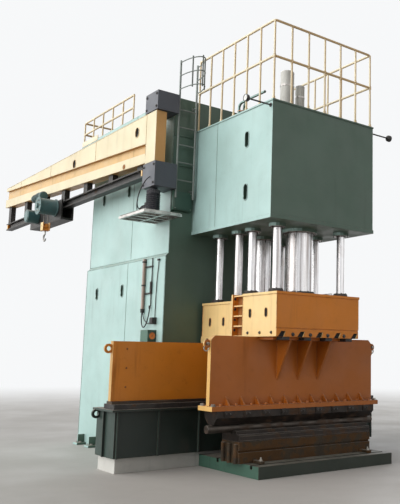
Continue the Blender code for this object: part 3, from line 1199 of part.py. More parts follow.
def build_trolley(dark, teal, parent):
    """The hoist trolley: side plates on wheels, a drum, a gearbox and a travel motor."""
    origin = (PIVOT_X, TROLLEY_Y, RUNWAY_BOTTOM_Z)
    inner = TROLLEY_INNER_HALF
    outer = inner + TROLLEY_PLATE
    start, end = TROLLEY_Y - TROLLEY_HALF_LENGTH, TROLLEY_Y + TROLLEY_HALF_LENGTH
    motor_y = TROLLEY_Y + MOTOR_OFFSET_Y
    shapes = [
        box((PIVOT_X - outer, start, TROLLEY_BOTTOM_Z), (PIVOT_X - inner, end, TROLLEY_TOP_Z)),
        box((PIVOT_X + inner, start, TROLLEY_BOTTOM_Z), (PIVOT_X + outer, end, TROLLEY_TOP_Z)),
        box((PIVOT_X - outer, motor_y - MOTOR_ARM / 2, TROLLEY_TOP_Z - OVERRUN),
            (PIVOT_X - inner, motor_y + MOTOR_ARM / 2, MOTOR_Z + MOTOR_RADIUS)),
    ]
    for y in both_sides(WHEEL_BASE_HALF):
        for side in both_sides(1):
            near = PIVOT_X + side * WHEEL_NEAR
            far = PIVOT_X + side * (inner + TROLLEY_PLATE / 2)
            shapes.append(rod("x", (TROLLEY_Y + y, WHEEL_Z), AXLE_RADIUS, min(near, far), max(near, far),
                              SMALL_SIDES * 2))
    shapes.append(box((PIVOT_X - outer, start, TROLLEY_BOTTOM_Z - TROLLEY_PLATE),
                      (PIVOT_X + outer, end, TROLLEY_BOTTOM_Z + TROLLEY_PLATE / 2)))
    part("trolley_frame", dark, shapes, origin=origin, parent=parent)
    face = PIVOT_X - outer - GAP
    drum_y = TROLLEY_Y + DRUM_OFFSET_Y
    away = face - DRUM_LENGTH
    profile = [(DRUM_BORE_RADIUS, away), (DRUM_RADIUS, away), (DRUM_RADIUS, away + DRUM_FLANGE),
               (DRUM_BARREL_RADIUS, away + DRUM_FLANGE), (DRUM_BARREL_RADIUS, face - DRUM_FLANGE),
               (DRUM_RADIUS, face - DRUM_FLANGE), (DRUM_RADIUS, face), (DRUM_BORE_RADIUS, face)]
    drum = turned("x", (drum_y, DRUM_Z), profile)
    part("hoist_drum", teal, [drum], origin=origin, parent=parent, smooth=True)
    centre = (TROLLEY_Y + GEARBOX_OFFSET_Y, GEARBOX_Z)
    gearbox = rod("x", centre, GEARBOX_RADIUS, face - GEARBOX_LENGTH, face)
    part("hoist_gearbox", teal, [gearbox], origin=origin, parent=parent, smooth=True)
    centre = (MOTOR_Z, face - MOTOR_RADIUS)
    motor = rod("y", centre, MOTOR_RADIUS, motor_y - MOTOR_LENGTH / 2, motor_y + MOTOR_LENGTH / 2)
    part("travel_motor", teal, [motor], origin=origin, parent=parent, smooth=True)


def build_wheels(steel, parent):
    """The trolley's wheels, each turning on its own axle stub."""
    for end, y in (("front", -WHEEL_BASE_HALF), ("rear", WHEEL_BASE_HALF)):
        for side_name, side in (("left", -1), ("right", 1)):
            near = PIVOT_X + side * WHEEL_NEAR
            far = near + side * WHEEL_WIDTH
            wheel = sleeve("x", (TROLLEY_Y + y, WHEEL_Z), AXLE_RADIUS + GAP, WHEEL_RADIUS, min(near, far),
                           max(near, far), SMALL_SIDES * 2)
            origin = ((near + far) / 2, TROLLEY_Y + y, WHEEL_Z)
            part(f"{end}_{side_name}_wheel", steel, [wheel], origin=origin, parent=parent, smooth=True)


def build_hook(dark, steel, parent):
    """The hook block on short rope falls under the drum, and the hook that swivels in it."""
    drum_y = TROLLEY_Y + DRUM_OFFSET_Y
    x = PIVOT_X - TROLLEY_INNER_HALF - TROLLEY_PLATE - GAP - DRUM_LENGTH / 2
    rope_top = DRUM_Z - DRUM_BARREL_RADIUS - GAP
    block_top = rope_top - ROPE_LENGTH
    half = HOOK_BLOCK_HALF
    shapes = [box((x - half, drum_y - half, block_top - HOOK_BLOCK_HEIGHT),
                  (x + half, drum_y + half, block_top)),
              rod("z", (x - half / 2, drum_y), ROPE_RADIUS, block_top - half, rope_top, TUBE_SIDES),
              rod("z", (x + half / 2, drum_y), ROPE_RADIUS, block_top - half, rope_top, TUBE_SIDES)]
    part("hook_block", dark, shapes, origin=(x, drum_y, block_top), parent=parent)
    top = block_top - HOOK_BLOCK_HEIGHT - GAP
    centre_z = top - HOOK_SHANK - HOOK_RADIUS
    path = [(x, drum_y, top), (x, drum_y, top - HOOK_SHANK / 2)]
    for angle in spread(RIGHT_ANGLE, RIGHT_ANGLE - HOOK_SWEEP, HOOK_POINTS):
        path.append((x, drum_y + HOOK_RADIUS * math.cos(angle), centre_z + HOOK_RADIUS * math.sin(angle)))
    hook = pipe(path, HOOK_TUBE, SMALL_SIDES)
    part("hook", steel, [hook], origin=(x, drum_y, top), parent=parent, smooth=True)


def clear_scene():
    """Remove whatever the scene holds."""
    for existing in list(bpy.data.objects):
        bpy.data.objects.remove(existing, do_unlink=True)


def main():
    """Build the press."""
    clear_scene()
    green = material("press_green", (0.16, 0.42, 0.30), 0.5)
    dark_green = material("bed_green", (0.03, 0.12, 0.08), 0.5)
    yellow = material("slide_yellow", (0.80, 0.45, 0.06), 0.5)
    jib_yellow = material("jib_yellow", (0.85, 0.58, 0.12), 0.5)
    jib_shade = material("jib_web_orange", (0.60, 0.28, 0.05), 0.6)
    rail_yellow = material("rail_yellow", (0.80, 0.62, 0.18), 0.5)
    rust = material("die_rust", (0.16, 0.08, 0.04), 0.8, 0.3)
    dark = material("black_steel", (0.035, 0.035, 0.038), 0.55, 0.4)
    steel = material("bare_steel", (0.45, 0.45, 0.46), 0.35, 1.0)
    chrome = material("rod_chrome", (0.72, 0.72, 0.74), 0.12, 1.0)
    pale = material("pale_grey", (0.62, 0.61, 0.58), 0.7)
    timber = material("packing_timber", (0.20, 0.13, 0.08), 0.85)
    teal = material("hoist_teal", (0.03, 0.16, 0.15), 0.45)
    build_column(green)
    build_head(green)
    build_cylinders(steel)
    build_bed(green, rust, dark)
    build_rear_bed(dark_green, dark, pale, timber)
    build_rails(rail_yellow, green)
    build_ladder(pale)
    build_roof_machinery(pale, dark, green)
    build_lamps(dark)
    build_side_fittings(green, dark)
    build_jib_brackets(dark, steel)
    slide = body_empty("slide_frame", (0.0, FRONT_PLUNGER_Y, SLIDE_TOP_Z))
    build_front_block(yellow, slide)
    build_rear_block(yellow, slide)
    build_rods(chrome, slide)
    build_die_beam(yellow, slide)
    build_front_tools(dark, steel, slide)
    build_rear_beam(yellow, slide)
    jib = body_empty("jib_frame", (PIVOT_X, PIVOT_Y, JIB_BOTTOM_FRONT_Z))
    build_jib(jib_yellow, jib_shade, dark, jib)
    trolley = body_empty("trolley_carriage", (PIVOT_X, TROLLEY_Y, RUNWAY_BOTTOM_Z))
    trolley.parent = jib
    trolley.matrix_parent_inverse = jib.matrix_world.inverted()
    bpy.context.view_layer.update()
    build_trolley(dark, teal, trolley)
    build_wheels(steel, trolley)
    build_hook(dark, steel, trolley)


main()
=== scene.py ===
"""Looks of a single-arm hydraulic press with two die stations and a slewing jib crane.

The packed model is the frame: its nodes get painted, bare and rusty metal finishes, and the
round pieces, rails, bolts, welds, cables and machinery details are added around it.
"""

import json
import math

import bmesh
import bpy
import numpy as np
from bpy.props import FloatProperty, FloatVectorProperty, IntProperty, PointerProperty
from mathutils import Matrix, Vector


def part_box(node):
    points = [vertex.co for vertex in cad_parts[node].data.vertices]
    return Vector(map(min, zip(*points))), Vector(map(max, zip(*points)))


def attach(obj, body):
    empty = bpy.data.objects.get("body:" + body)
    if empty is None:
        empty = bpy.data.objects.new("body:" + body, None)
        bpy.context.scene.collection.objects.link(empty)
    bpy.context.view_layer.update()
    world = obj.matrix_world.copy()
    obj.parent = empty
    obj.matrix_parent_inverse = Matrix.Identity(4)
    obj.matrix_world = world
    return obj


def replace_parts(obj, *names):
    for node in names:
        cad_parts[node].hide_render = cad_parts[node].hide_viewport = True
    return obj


bl_info = {
    "name": "Hydraulic press looks",
    "version": (1, 0, 0),
    "blender": (4, 5, 0),
    "location": "3D View > Sidebar > Press",
    "description": "Dresses the packed hydraulic press with finishes and details",
    "category": "Object",
}

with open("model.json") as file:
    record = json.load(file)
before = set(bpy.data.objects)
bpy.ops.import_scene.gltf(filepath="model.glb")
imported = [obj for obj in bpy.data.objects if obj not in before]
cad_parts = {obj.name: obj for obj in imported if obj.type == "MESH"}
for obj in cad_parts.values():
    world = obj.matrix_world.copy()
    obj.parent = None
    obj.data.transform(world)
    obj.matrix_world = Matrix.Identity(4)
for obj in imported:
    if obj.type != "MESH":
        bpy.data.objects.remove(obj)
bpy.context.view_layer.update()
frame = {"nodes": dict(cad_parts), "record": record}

# Camera, solved from the photograph's straight edges
CAMERA_PLACE = (-6.535, -8.638, 1.6)
CAMERA_YAW = math.radians(-39.893)
CAMERA_PITCH = math.radians(8.138)
CAMERA_ROLL = math.radians(0.759)
CAMERA_LENS_MM = 51.016
CAMERA_SENSOR_MM = 36.0
CAMERA_SHIFT = -0.2302

# The gap left beside a neighbour, and how deep a fitting sits in its face
FIT = 0.0003
SINK = 0.001
THICK_BEAD = 0.014

LEFT, RIGHT = (-1.0, 0.0, 0.0), (1.0, 0.0, 0.0)
FRONT, BACK = (0.0, -1.0, 0.0), (0.0, 1.0, 0.0)
DOWN, UP = (0.0, 0.0, -1.0), (0.0, 0.0, 1.0)

# Rods between the head and the slide
HEAD_UNDERSIDE = 3.415
GLAND_HEIGHT = 0.045
GLAND_WALL = 0.059
COLLAR_WALL = 0.045
COLLAR_HEIGHT = 0.035
COLLAR_LID = 0.018
FRONT_TOP = 2.443
REAR_TOP = 2.353
PLUNGER_REACH = 0.55
ROD_REACH = 0.47
PLUNGER_BOLTS = 12
ROD_BOLTS = 6
FRONT_PLUNGER = (0.0, -0.43, 0.20)
REAR_PLUNGER = (0.0, 0.50, 0.132)
GUIDE_RADIUS = 0.06
GUIDE_X = 0.60
FRONT_GUIDE_ROWS = (-0.68, -0.08)
REAR_GUIDE_ROWS = (0.27, 0.80)

# Head and column
HOLE_WIDTH = 0.10
HEAD_SEAM_Y = 0.41
HEAD_HOLE_Y = -0.385
HEAD_HOLE_HEIGHT = 0.24
HEAD_HOLE_HEIGHTS = (3.864, 4.634)
COLUMN_FACE = 1.396
COLUMN_LEFT = -1.3963
UPPER_FACE = 1.352
STEP_LOW = 3.05
STEP_HIGH = 3.10
COLUMN_SEAM_Y = 2.35
COLUMN_HOLES_Y = (3.55, 2.53)
COLUMN_HOLE_HEIGHT = 0.21
WALL_Y = 1.0697
FOOT_PLATE = 0.035
CABINET = (-1.345, -1.02, 3.76, 4.07)

# Slide: its faces, the slanted pockets and the slots as Y, Z and as width, height
SLIDE_FRONT = -0.912
SLIDE_FACE = 0.754
BLOCK_TOP = 2.408
POCKET_END = 0.667
POCKET_HALF = 0.075
POCKET_LOW = 1.8305
POCKET_HIGH = 1.905
SLIDE_SLOTS = ((-0.669, 2.16), (-0.286, 2.16), (0.773, 2.058), (0.401, 2.058))
SLIDE_SLOT = (0.07, 0.135)

# Die beam, tools and beds
PRESS_LINE = -0.407
PUNCH_RADIUS = 0.055
PUNCH_Z = 0.605
PUNCH_HALF = 1.487
WEB_FRONT = -0.447
WEB_BACK = -0.367
WEB_TOP = 1.79
FLANGE_TOP = 0.906
GUSSET_PLACES = (-0.37, 0.0, 0.37)
GUSSET_REACH = 0.31
RIB_END = 1.22
RIB_COUNT = 11

# Rails
RAIL_RADIUS = 0.018
POST_RADIUS = 0.015
RAIL_TOP = 6.25
RAIL_MIDDLE = 5.72
RAIL_X = 0.925
RAIL_FRONT = -0.97
RAIL_BACK = 1.04
POST_COUNT = 7
REAR_RAIL_TOP = 6.04
REAR_RAIL_MIDDLE = 5.81
REAR_RAIL_X = 1.322
REAR_RAIL_START = 2.6
REAR_RAIL_END = 4.7403
REAR_POST_COUNT = 6
COLUMN_TOP = 5.58
PLATFORM_TOP = 5.55
COLUMN_BACK = 4.02

# Ladder
LADDER_X = -1.17
LADDER_Y = 0.97
LADDER_HALF = 0.15
LADDER_TUBE = 0.016
LADDER_LOW = 3.95
LADDER_HIGH = 6.15
LADDER_PITCH = 0.28
HOOP_DEPTH = 0.42
HOOP_PITCH = 0.22

# Roof machinery: each tank as X, radius and height
ROOF_TOP = 5.0823
TANKS = ((0.06, 0.11, 0.98), (0.32, 0.075, 0.80))
TANK_Y = 0.02
SKID_HEIGHT = 0.03
PUMP_X = 0.06
PUMP_Y = 0.42
PUMP_RADIUS = 0.12
PUMP_HALF = 0.17

# Lamps
LAMP_Y = -0.95
LAMP_Z = 5.0
LAMP_ROOT = 0.9553
LAMP_REACH = 0.36
LAMP_RADIUS = 0.05
LAMP_LENGTH = 0.07

# Dial box, conduit and lines on the column's left face
DIAL_X = -1.466
DIAL_Z = 1.84
DIAL_FRONT = 1.26
CONDUIT_Y = 1.70
CONDUIT_LOW = 2.25
CONDUIT_RIBS = 30
LINE_Y = 1.46

# Hanging lines: name, two ends, sag, bow to the left and diameter
CABLES = (
    ("drive_cable_a", (-1.722, 1.05, 4.22), (-1.712, 1.33, 3.77), 0.05, 0.11, 0.016),
    ("drive_cable_b", (-1.722, 1.22, 4.16), (-1.712, 1.36, 3.73), 0.06, 0.08, 0.013),
    ("hose_loop_a", (-1.424, 1.715, 2.215), (-1.424, 1.46, 2.26), 0.26, 0.02, 0.018),
    ("hose_loop_b", (-1.424, 1.685, 2.215), (-1.424, 1.34, 2.118), 0.13, 0.0, 0.014),
)

# Jib: its faces, and the slots and plug as Y, Z
PIVOT_X = -1.625
PIVOT_Y = 1.11
JIB_HALF = 0.085
JIB_START = 1.272
JIB_FAR = 8.2
JIB_TOP = 5.25
JIB_SLOTS = ((1.59, 5.037), (4.17, 5.037))
JIB_SLOT = (0.13, 0.165)
JIB_PLUG = (2.01, 4.56)
FLANGE_Z = 4.40

# Hoist
TROLLEY_Y = 5.45
WHEEL_REACH = 0.55
WHEEL_Z = 4.3453
HOIST_FACE = -1.7453
DRUM_Y = 4.90
DRUM_Z = 4.31
DRUM_LENGTH = 0.34
DRUM_BARREL = 0.146
DRUM_GROOVES = 15
GEARBOX_Y = 5.87
GEARBOX_Z = 4.26
MOTOR_Y = 5.61
MOTOR_Z = 4.62
MOTOR_HALF = 0.26
ROPE_LENGTH = 0.16
BLOCK_HEIGHT = 0.16
HOOK_RADIUS = 0.06
HOOK_SWEEP = math.radians(250)

# Stage: each light with the way to it, its strength, its spread in degrees and its colour
BACKGROUND = (0.93, 0.94, 0.95)
LIGHTS = (
    ("window_light", (-0.90, 0.36, 0.40), 2.9, 96.0, (1.0, 0.985, 0.95)),
    ("front_light", (0.25, -0.85, 0.45), 0.26, 60.0, (1.0, 0.95, 0.88)),
    ("back_light", (0.65, 0.6, 0.45), 0.9, 60.0, (0.92, 0.96, 1.0)),
)

SHARP_ANGLE = math.radians(32)
AXES = {"x": (0, 1, 2), "y": (1, 2, 0), "z": (2, 0, 1)}


class PressLooks(bpy.types.PropertyGroup):
    """Colours and sizes of the press that a user may change."""

    # Painted shade and light: each paint comes as a darker copy for shaded faces and a lighter copy for the
    # left-facing faces, standing for sunlight there.
    green: FloatVectorProperty(
        name="Press green", description="Paint of the column and head, in the shade",
        default=(0.075, 0.125, 0.092), subtype="COLOR", min=0.0, max=1.0)
    # Painted light: the lighter copy of the press green for the left-facing faces, standing for sunlight.
    green_faded: FloatVectorProperty(
        name="Faded green", description="The same paint on the side that the sun bleaches",
        default=(0.44, 0.63, 0.60), subtype="COLOR", min=0.0, max=1.0)
    yellow: FloatVectorProperty(
        name="Slide yellow", description="Paint of the slide and die beams",
        default=(0.70, 0.22, 0.013), subtype="COLOR", min=0.0, max=1.0)
    # Painted light: the lighter copy of the slide yellow for the left-facing faces, standing for sunlight.
    yellow_faded: FloatVectorProperty(
        name="Faded yellow", description="Slide paint on the bleached side",
        default=(0.95, 0.68, 0.30), subtype="COLOR", min=0.0, max=1.0)
    crane_yellow: FloatVectorProperty(
        name="Crane yellow", description="Paint of the jib and rails, in the shade",
        default=(0.58, 0.30, 0.10), subtype="COLOR", min=0.0, max=1.0)
    # Painted light: the lighter copy of the crane yellow for the left-facing faces, standing for sunlight.
    crane_faded: FloatVectorProperty(
        name="Faded crane yellow", description="Crane paint on the bleached side",
        default=(0.80, 0.71, 0.475), subtype="COLOR", min=0.0, max=1.0)
    dust: FloatVectorProperty(
        name="Dust", description="Colour of the dust that settles on level faces",
        default=(0.42, 0.38, 0.32), subtype="COLOR", min=0.0, max=1.0)
    bolt_radius: FloatProperty(
        name="Bolt radius", description="Across-corner radius of the common hexagon heads",
        default=0.017, unit="LENGTH", min=0.004, max=0.05)
    bead_width: FloatProperty(
        name="Weld bead", description="Width of the weld beads along the plates",
        default=0.012, unit="LENGTH", min=0.002, max=0.03)
    round_sides: IntProperty(
        name="Round sides", description="Facets round the turned pieces",
        default=64, min=16, max=128)
    edge_round: FloatProperty(
        name="Edge rounding", description="How far the plate edges are rounded in the finish",
        default=0.005, unit="LENGTH", min=0.0, max=0.02)


def looks():
    """The settings of this scene."""
    return bpy.context.scene.press_looks


def grid_quads(rows, columns):
    """Quads between the neighbouring rows and columns of a grid of points."""
    index = np.arange(rows * columns).reshape(rows, columns)
    corners = [index[:-1, :-1], index[:-1, 1:], index[1:, 1:], index[1:, :-1]]
    return np.stack(corners, axis=-1).reshape(-1, 4)


def grid_shape(points):
    """A surface from a rows by columns by 3 array of points."""
    rows, columns, _ = points.shape
    return points.reshape(-1, 3), grid_quads(rows, columns)


def joined(shapes):
    """Several shapes as one, with their quads renumbered."""
    shapes = list(shapes)
    counts = np.cumsum([0] + [len(points) for points, _ in shapes])
    quads = [faces + start for (_, faces), start in zip(shapes, counts)]
    return np.concatenate([points for points, _ in shapes]), np.concatenate(quads)


def turned(axis, centre, profile, sides=None):
    """Each profile point of radius and height is carried round a circle about the axis."""
    sides = sides or looks().round_sides
    radius, height = np.array(profile, float).T
    angle = np.linspace(0.0, 2 * math.pi, sides + 1)
    main, first, second = AXES[axis]
    points = np.zeros((len(radius), sides + 1, 3))
    points[..., main] = height[:, None]
    points[..., first] = centre[0] + radius[:, None] * np.cos(angle)
    points[..., second] = centre[1] + radius[:, None] * np.sin(angle)
    return grid_shape(points)


def bar(axis, centre, radius, low, high, chamfer=0.002, sides=None):
    """A round bar: a disc, a chamfer, the wall, a chamfer and a disc again."""
    profile = [(0, low), (radius - chamfer, low), (radius, low + chamfer),
               (radius, high - chamfer), (radius - chamfer, high), (0, high)]
    return turned(axis, centre, profile, sides)


def ring(axis, centre, inner, outer, low, high, chamfer=0.002, sides=None):
    """A flat ring: its closed section is carried round the axis."""
    profile = [(inner, low), (outer - chamfer, low), (outer, low + chamfer),
               (outer, high - chamfer), (outer - chamfer, high), (inner, high), (inner, low)]
    return turned(axis, centre, profile, sides)


def unit(vectors):
    """Vectors scaled to length one."""
    return vectors / np.linalg.norm(vectors, axis=-1, keepdims=True)


def tube(path, radius, sides=12, reference=UP):
    """A circle carried along a path, square to it, and closed by a point at each end."""
    path = np.array(path, float)
    tangent = unit(np.gradient(path, axis=0))
    side = unit(np.cross(tangent, reference))
    other = np.cross(side, tangent)
    angle = np.linspace(0.0, 2 * math.pi, sides + 1)
    reach = np.broadcast_to(np.asarray(radius, float), len(path))[:, None, None]
    circle = side[:, None] * np.cos(angle)[:, None] + other[:, None] * np.sin(angle)[:, None]
    rings = path[:, None] + reach * circle
    ends = [np.repeat(path[:1, None], sides + 1, axis=1), np.repeat(path[-1:, None], sides + 1, axis=1)]
    return grid_shape(np.concatenate([ends[0], rings, ends[1]]))


def bent_path(corners, bend, steps=6):
    """Straight runs joined by quarter-like arcs: each corner is a quadratic blend of its runs."""
    corners = [np.array(corner, float) for corner in corners]
    path = [corners[0][None]]
    share = np.linspace(0.0, 1.0, steps + 1)[:, None]
    for before, corner, after in zip(corners, corners[1:], corners[2:]):
        start = corner + unit(before - corner) * bend
        end = corner + unit(after - corner) * bend
        path.append((1 - share) ** 2 * start + 2 * share * (1 - share) * corner + share ** 2 * end)
    path.append(corners[-1][None])
    return np.concatenate(path)


def block(low, high, rounding=0.004, steps=3):
    """A box between two corners, with rounded edges: a sphere's points pushed out to its inner corners."""
    low, high = np.minimum(low, high), np.maximum(low, high)
    centre = (low + high) / 2
    inner = np.maximum((high - low) / 2 - rounding, 0.0)
    quarter = np.linspace(0.0, math.pi / 2, steps + 1)
    around = np.concatenate([quarter + turn * math.pi / 2 for turn in range(4)] + [[2 * math.pi]])
    sign_x = np.concatenate([np.full(steps + 1, s) for s in (1, -1, -1, 1)] + [[1]])
    sign_y = np.concatenate([np.full(steps + 1, s) for s in (1, 1, -1, -1)] + [[1]])
    rise = np.concatenate([quarter - math.pi / 2, quarter])
    sign_z = np.concatenate([np.full(steps + 1, s) for s in (-1, 1)])
    normal = np.stack([np.cos(rise)[:, None] * np.cos(around), np.cos(rise)[:, None] * np.sin(around),
                       np.broadcast_to(np.sin(rise)[:, None], (len(rise), len(around)))], axis=-1)
    sign = np.stack([np.broadcast_to(sign_x, normal.shape[:2]), np.broadcast_to(sign_y, normal.shape[:2]),
                     np.broadcast_to(sign_z[:, None], normal.shape[:2])], axis=-1)
    points = centre + sign * inner + normal * rounding
    bottom = np.repeat(points[:1].mean(axis=1, keepdims=True), len(around), axis=1)
    top = np.repeat(points[-1:].mean(axis=1, keepdims=True), len(around), axis=1)
    return grid_shape(np.concatenate([bottom, points, top]))


def turned_frames(normals):
    """For each direction, three square axes whose third is that direction."""
    normals = unit(np.array(normals, float))
    helper = np.where(np.abs(normals[:, 2:]) > 0.9, [[1.0, 0.0, 0.0]], [[0.0, 0.0, 1.0]])
    first = unit(np.cross(helper, normals))
    return np.stack([first, np.cross(normals, first), normals], axis=-1)


def copies(shape, places, normals):
    """The same shape set down at each place, with its own Z along that place's direction."""
    points, quads = shape
    places = np.array(places, float)
    normals = np.broadcast_to(np.array(normals, float), places.shape)
    moved = np.einsum("nij,pj->npi", turned_frames(normals), points) + places[:, None]
    shifts = np.arange(len(places))[:, None, None] * len(points)
    return moved.reshape(-1, 3), (quads[None] + shifts).reshape(-1, 4)


def hexagon_bolt(radius):
    """A chamfered hexagon head on a round washer."""
    head = radius * 0.75
    washer = radius * 0.2
    hexagon = turned("z", (0.0, 0.0), [(0, washer), (radius, washer), (radius, washer + head * 0.85),
                                      (radius * 0.86, washer + head), (0, washer + head)], 6)
    rim = radius * 1.3
    disc = turned("z", (0.0, 0.0), [(0, -SINK), (rim, -SINK), (rim, washer), (0, washer)], 14)
    return joined([hexagon, disc])


def socket_bolt(radius):
    """A round cap head with a sunk hexagon socket."""
    high = radius * 0.9
    return turned("z", (0.0, 0.0), [(0, -SINK), (radius, -SINK), (radius, high * 0.9), (radius * 0.9, high),
                                    (radius * 0.5, high), (radius * 0.5, high * 0.4), (0, high * 0.4)], 12)


def bead(start, end, width=None):
    """A weld bead: a thin tube whose radius swells and shrinks with each ripple of the weld."""
    width = width or looks().bead_width
    start, end = np.array(start, float), np.array(end, float)
    length = np.linalg.norm(end - start)
    count = max(int(length / (width * 0.7)), 2)
    share = np.linspace(0.0, 1.0, count * 2 + 1)
    radius = width / 2 * (0.86 + 0.14 * np.cos(share * count * 2 * math.pi))
    path = start + share[:, None] * (end - start)
    upright = abs(np.dot(unit(end - start), UP)) > 0.9
    return tube(path, radius, 6, RIGHT if upright else UP)


def seams(runs, width=None):
    """A weld bead along each run, from its start to its end."""
    return [bead(start, end, width) for start, end in runs]


def arc(axis, centre, level, radius, start, end, count=33, rise=None):
    """Points of an arc about an axis, from one angle to another: an ellipse where a rise is given."""
    angle = np.linspace(start, end, count)
    main, first, second = AXES[axis]
    points = np.zeros((count, 3))
    points[:, main] = level
    points[:, first] = centre[0] + radius * np.cos(angle)
    points[:, second] = centre[1] + (radius if rise is None else rise) * np.sin(angle)
    return points


def circle_places(centre, radius, count, level, start=0.0, axis="z"):
    """Evenly spaced places on a circle about an axis."""
    return arc(axis, centre, level, radius, start, start + 2 * math.pi, count + 1)[:-1]


def oval_rim(axis, centre, at, width, height, out, tube_radius=0.008, sides=40):
    """A thin welded rim round an oval hole: a small circle carried along the hole's outline."""
    angle = np.linspace(0.0, 2 * math.pi, sides + 1)
    radius = width / 2
    across = centre[0] + radius * np.cos(angle)
    up = centre[1] + radius * np.sin(angle) + np.sign(np.sin(angle)) * (height / 2 - radius)
    small = np.linspace(0.0, 2 * math.pi, 9)
    main, first, second = AXES[axis]
    points = np.zeros((sides + 1, 9, 3))
    points[..., first] = across[:, None] + np.cos(angle)[:, None] * np.cos(small) * tube_radius
    points[..., second] = up[:, None] + np.sin(angle)[:, None] * np.cos(small) * tube_radius
    points[..., main] = at + out * np.sin(small) * tube_radius
    return grid_shape(points)


def plate(axis, outline, low, high):
    """A flat plate: its outline between two levels, closed by a fan to the middle on both faces."""
    outline = np.array(list(outline) + [outline[0]], float)
    middle = np.broadcast_to(outline[:-1].mean(axis=0), outline.shape)
    main, first, second = AXES[axis]
    points = np.zeros((4, len(outline), 3))
    rows = ((middle, low), (outline, low), (outline, high), (middle, high))
    for row, (ring_points, level) in enumerate(rows):
        points[row, :, main] = level
        points[row, :, first] = ring_points[:, 0]
        points[row, :, second] = ring_points[:, 1]
    return grid_shape(points)


def oval(centre, width, height, sides=32):
    """The outline of a tall slot with round ends."""
    angle = (np.arange(sides) + 0.5) * 2 * math.pi / sides
    rise = np.sign(np.sin(angle)) * (height - width) / 2
    return list(zip(centre[0] + width / 2 * np.cos(angle), centre[1] + width / 2 * np.sin(angle) + rise))


def solid(name, shapes, finish, body):
    """One mesh piece from closed shapes: seams and poles merged, normals out, riding on its body."""
    points, quads = joined(shapes)
    mesh = bpy.data.meshes.new(name)
    mesh.vertices.add(len(points))
    mesh.vertices.foreach_set("co", points.astype(np.float32).ravel())
    mesh.loops.add(quads.size)
    mesh.loops.foreach_set("vertex_index", quads.astype(np.int32).ravel())
    mesh.polygons.add(len(quads))
    mesh.polygons.foreach_set("loop_start", np.arange(0, quads.size, 4, dtype=np.int32))
    mesh.update(calc_edges=True)
    builder = bmesh.new()
    builder.from_mesh(mesh)
    bmesh.ops.remove_doubles(builder, verts=builder.verts, dist=1e-6)
    bmesh.ops.dissolve_degenerate(builder, edges=builder.edges, dist=1e-7)
    bmesh.ops.recalc_face_normals(builder, faces=builder.faces)
    builder.to_mesh(mesh)
    builder.free()
    mesh.shade_smooth()
    mesh.set_sharp_from_angle(angle=SHARP_ANGLE)
    mesh.materials.append(bpy.data.materials[finish])
    made = bpy.data.objects.new(name, mesh)
    bpy.context.scene.collection.objects.link(made)
    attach(made, body)
    return made


def dressed(name, shapes, finish, body):
    """A piece whose slot has the name of its finish."""
    return solid(name, shapes, finish, body)


def bolted(name, head, places, direction, finish, body):
    """Like heads as one piece: the head set down at each place, facing one way."""
    return solid(name, [copies(head, places, direction)], finish, body)


class Graph:
    """A node tree with short ways to add and wire its nodes."""

    def __init__(self, tree):
        self.tree = tree

    def add(self, kind, inputs=None, **settings):
        """A new shader node with its settings, and its inputs wired or set by name or number."""
        made = self.tree.nodes.new("ShaderNode" + kind)
        for key, value in settings.items():
            setattr(made, key, value)
        for key, value in (inputs or {}).items():
            self.feed(made.inputs[key], value)
        return made

    def feed(self, socket, value):
        """Link a socket to another one, or set its plain value."""
        if isinstance(value, bpy.types.NodeSocket):
            self.tree.links.new(value, socket)
        elif isinstance(value, (tuple, list)) and len(value) == 3 and socket.type == "RGBA":
            socket.default_value = (*value, 1.0)
        else:
            socket.default_value = value

    def mix(self, low, high, share, blend="MIX"):
        """A colour between two others."""
        made = self.add("Mix", data_type="RGBA", blend_type=blend)
        self.feed(made.inputs[0], share)
        self.feed(made.inputs[6], low)
        self.feed(made.inputs[7], high)
        return made.outputs[2]

    def sum(self, operation, first, second=0.0, clamp=False):
        """The result of one arithmetic step."""
        return self.add("Math", {0: first, 1: second}, operation=operation, use_clamp=clamp).outputs[0]

    def ramp(self, value, low, high, out_low=0.0, out_high=1.0):
        """A value carried smoothly from one range to another."""
        made = self.add("MapRange", {"Value": value, "From Min": low, "From Max": high,
                                     "To Min": out_low, "To Max": out_high}, interpolation_type="SMOOTHSTEP")
        return made.outputs[0]

    def noise(self, vector, scale, detail=3.0, roughness=0.55):
        """A cloudy value between 0 and 1."""
        made = self.add("TexNoise", {"Vector": vector, "Scale": scale, "Detail": detail,
                                     "Roughness": roughness})
        return made.outputs[0]

    def stretched(self, vector, scale):
        """The same coordinates with each axis scaled."""
        return self.add("Mapping", {"Vector": vector, "Scale": scale}).outputs[0]


def effect_group(name, inputs, outputs):
    """A new shader node group with named sockets, and the graph to fill it."""
    tree = bpy.data.node_groups.new(name, "ShaderNodeTree")
    for label, kind, value in inputs:
        made = tree.interface.new_socket(name=label, in_out="INPUT", socket_type=kind)
        if value is not None:
            made.default_value = value
    for label, kind in outputs:
        tree.interface.new_socket(name=label, in_out="OUTPUT", socket_type=kind)
    start = tree.nodes.new("NodeGroupInput")
    end = tree.nodes.new("NodeGroupOutput")
    return Graph(tree), start.outputs, end.inputs


VALUE = "NodeSocketFloat"
VECTOR = "NodeSocketVector"


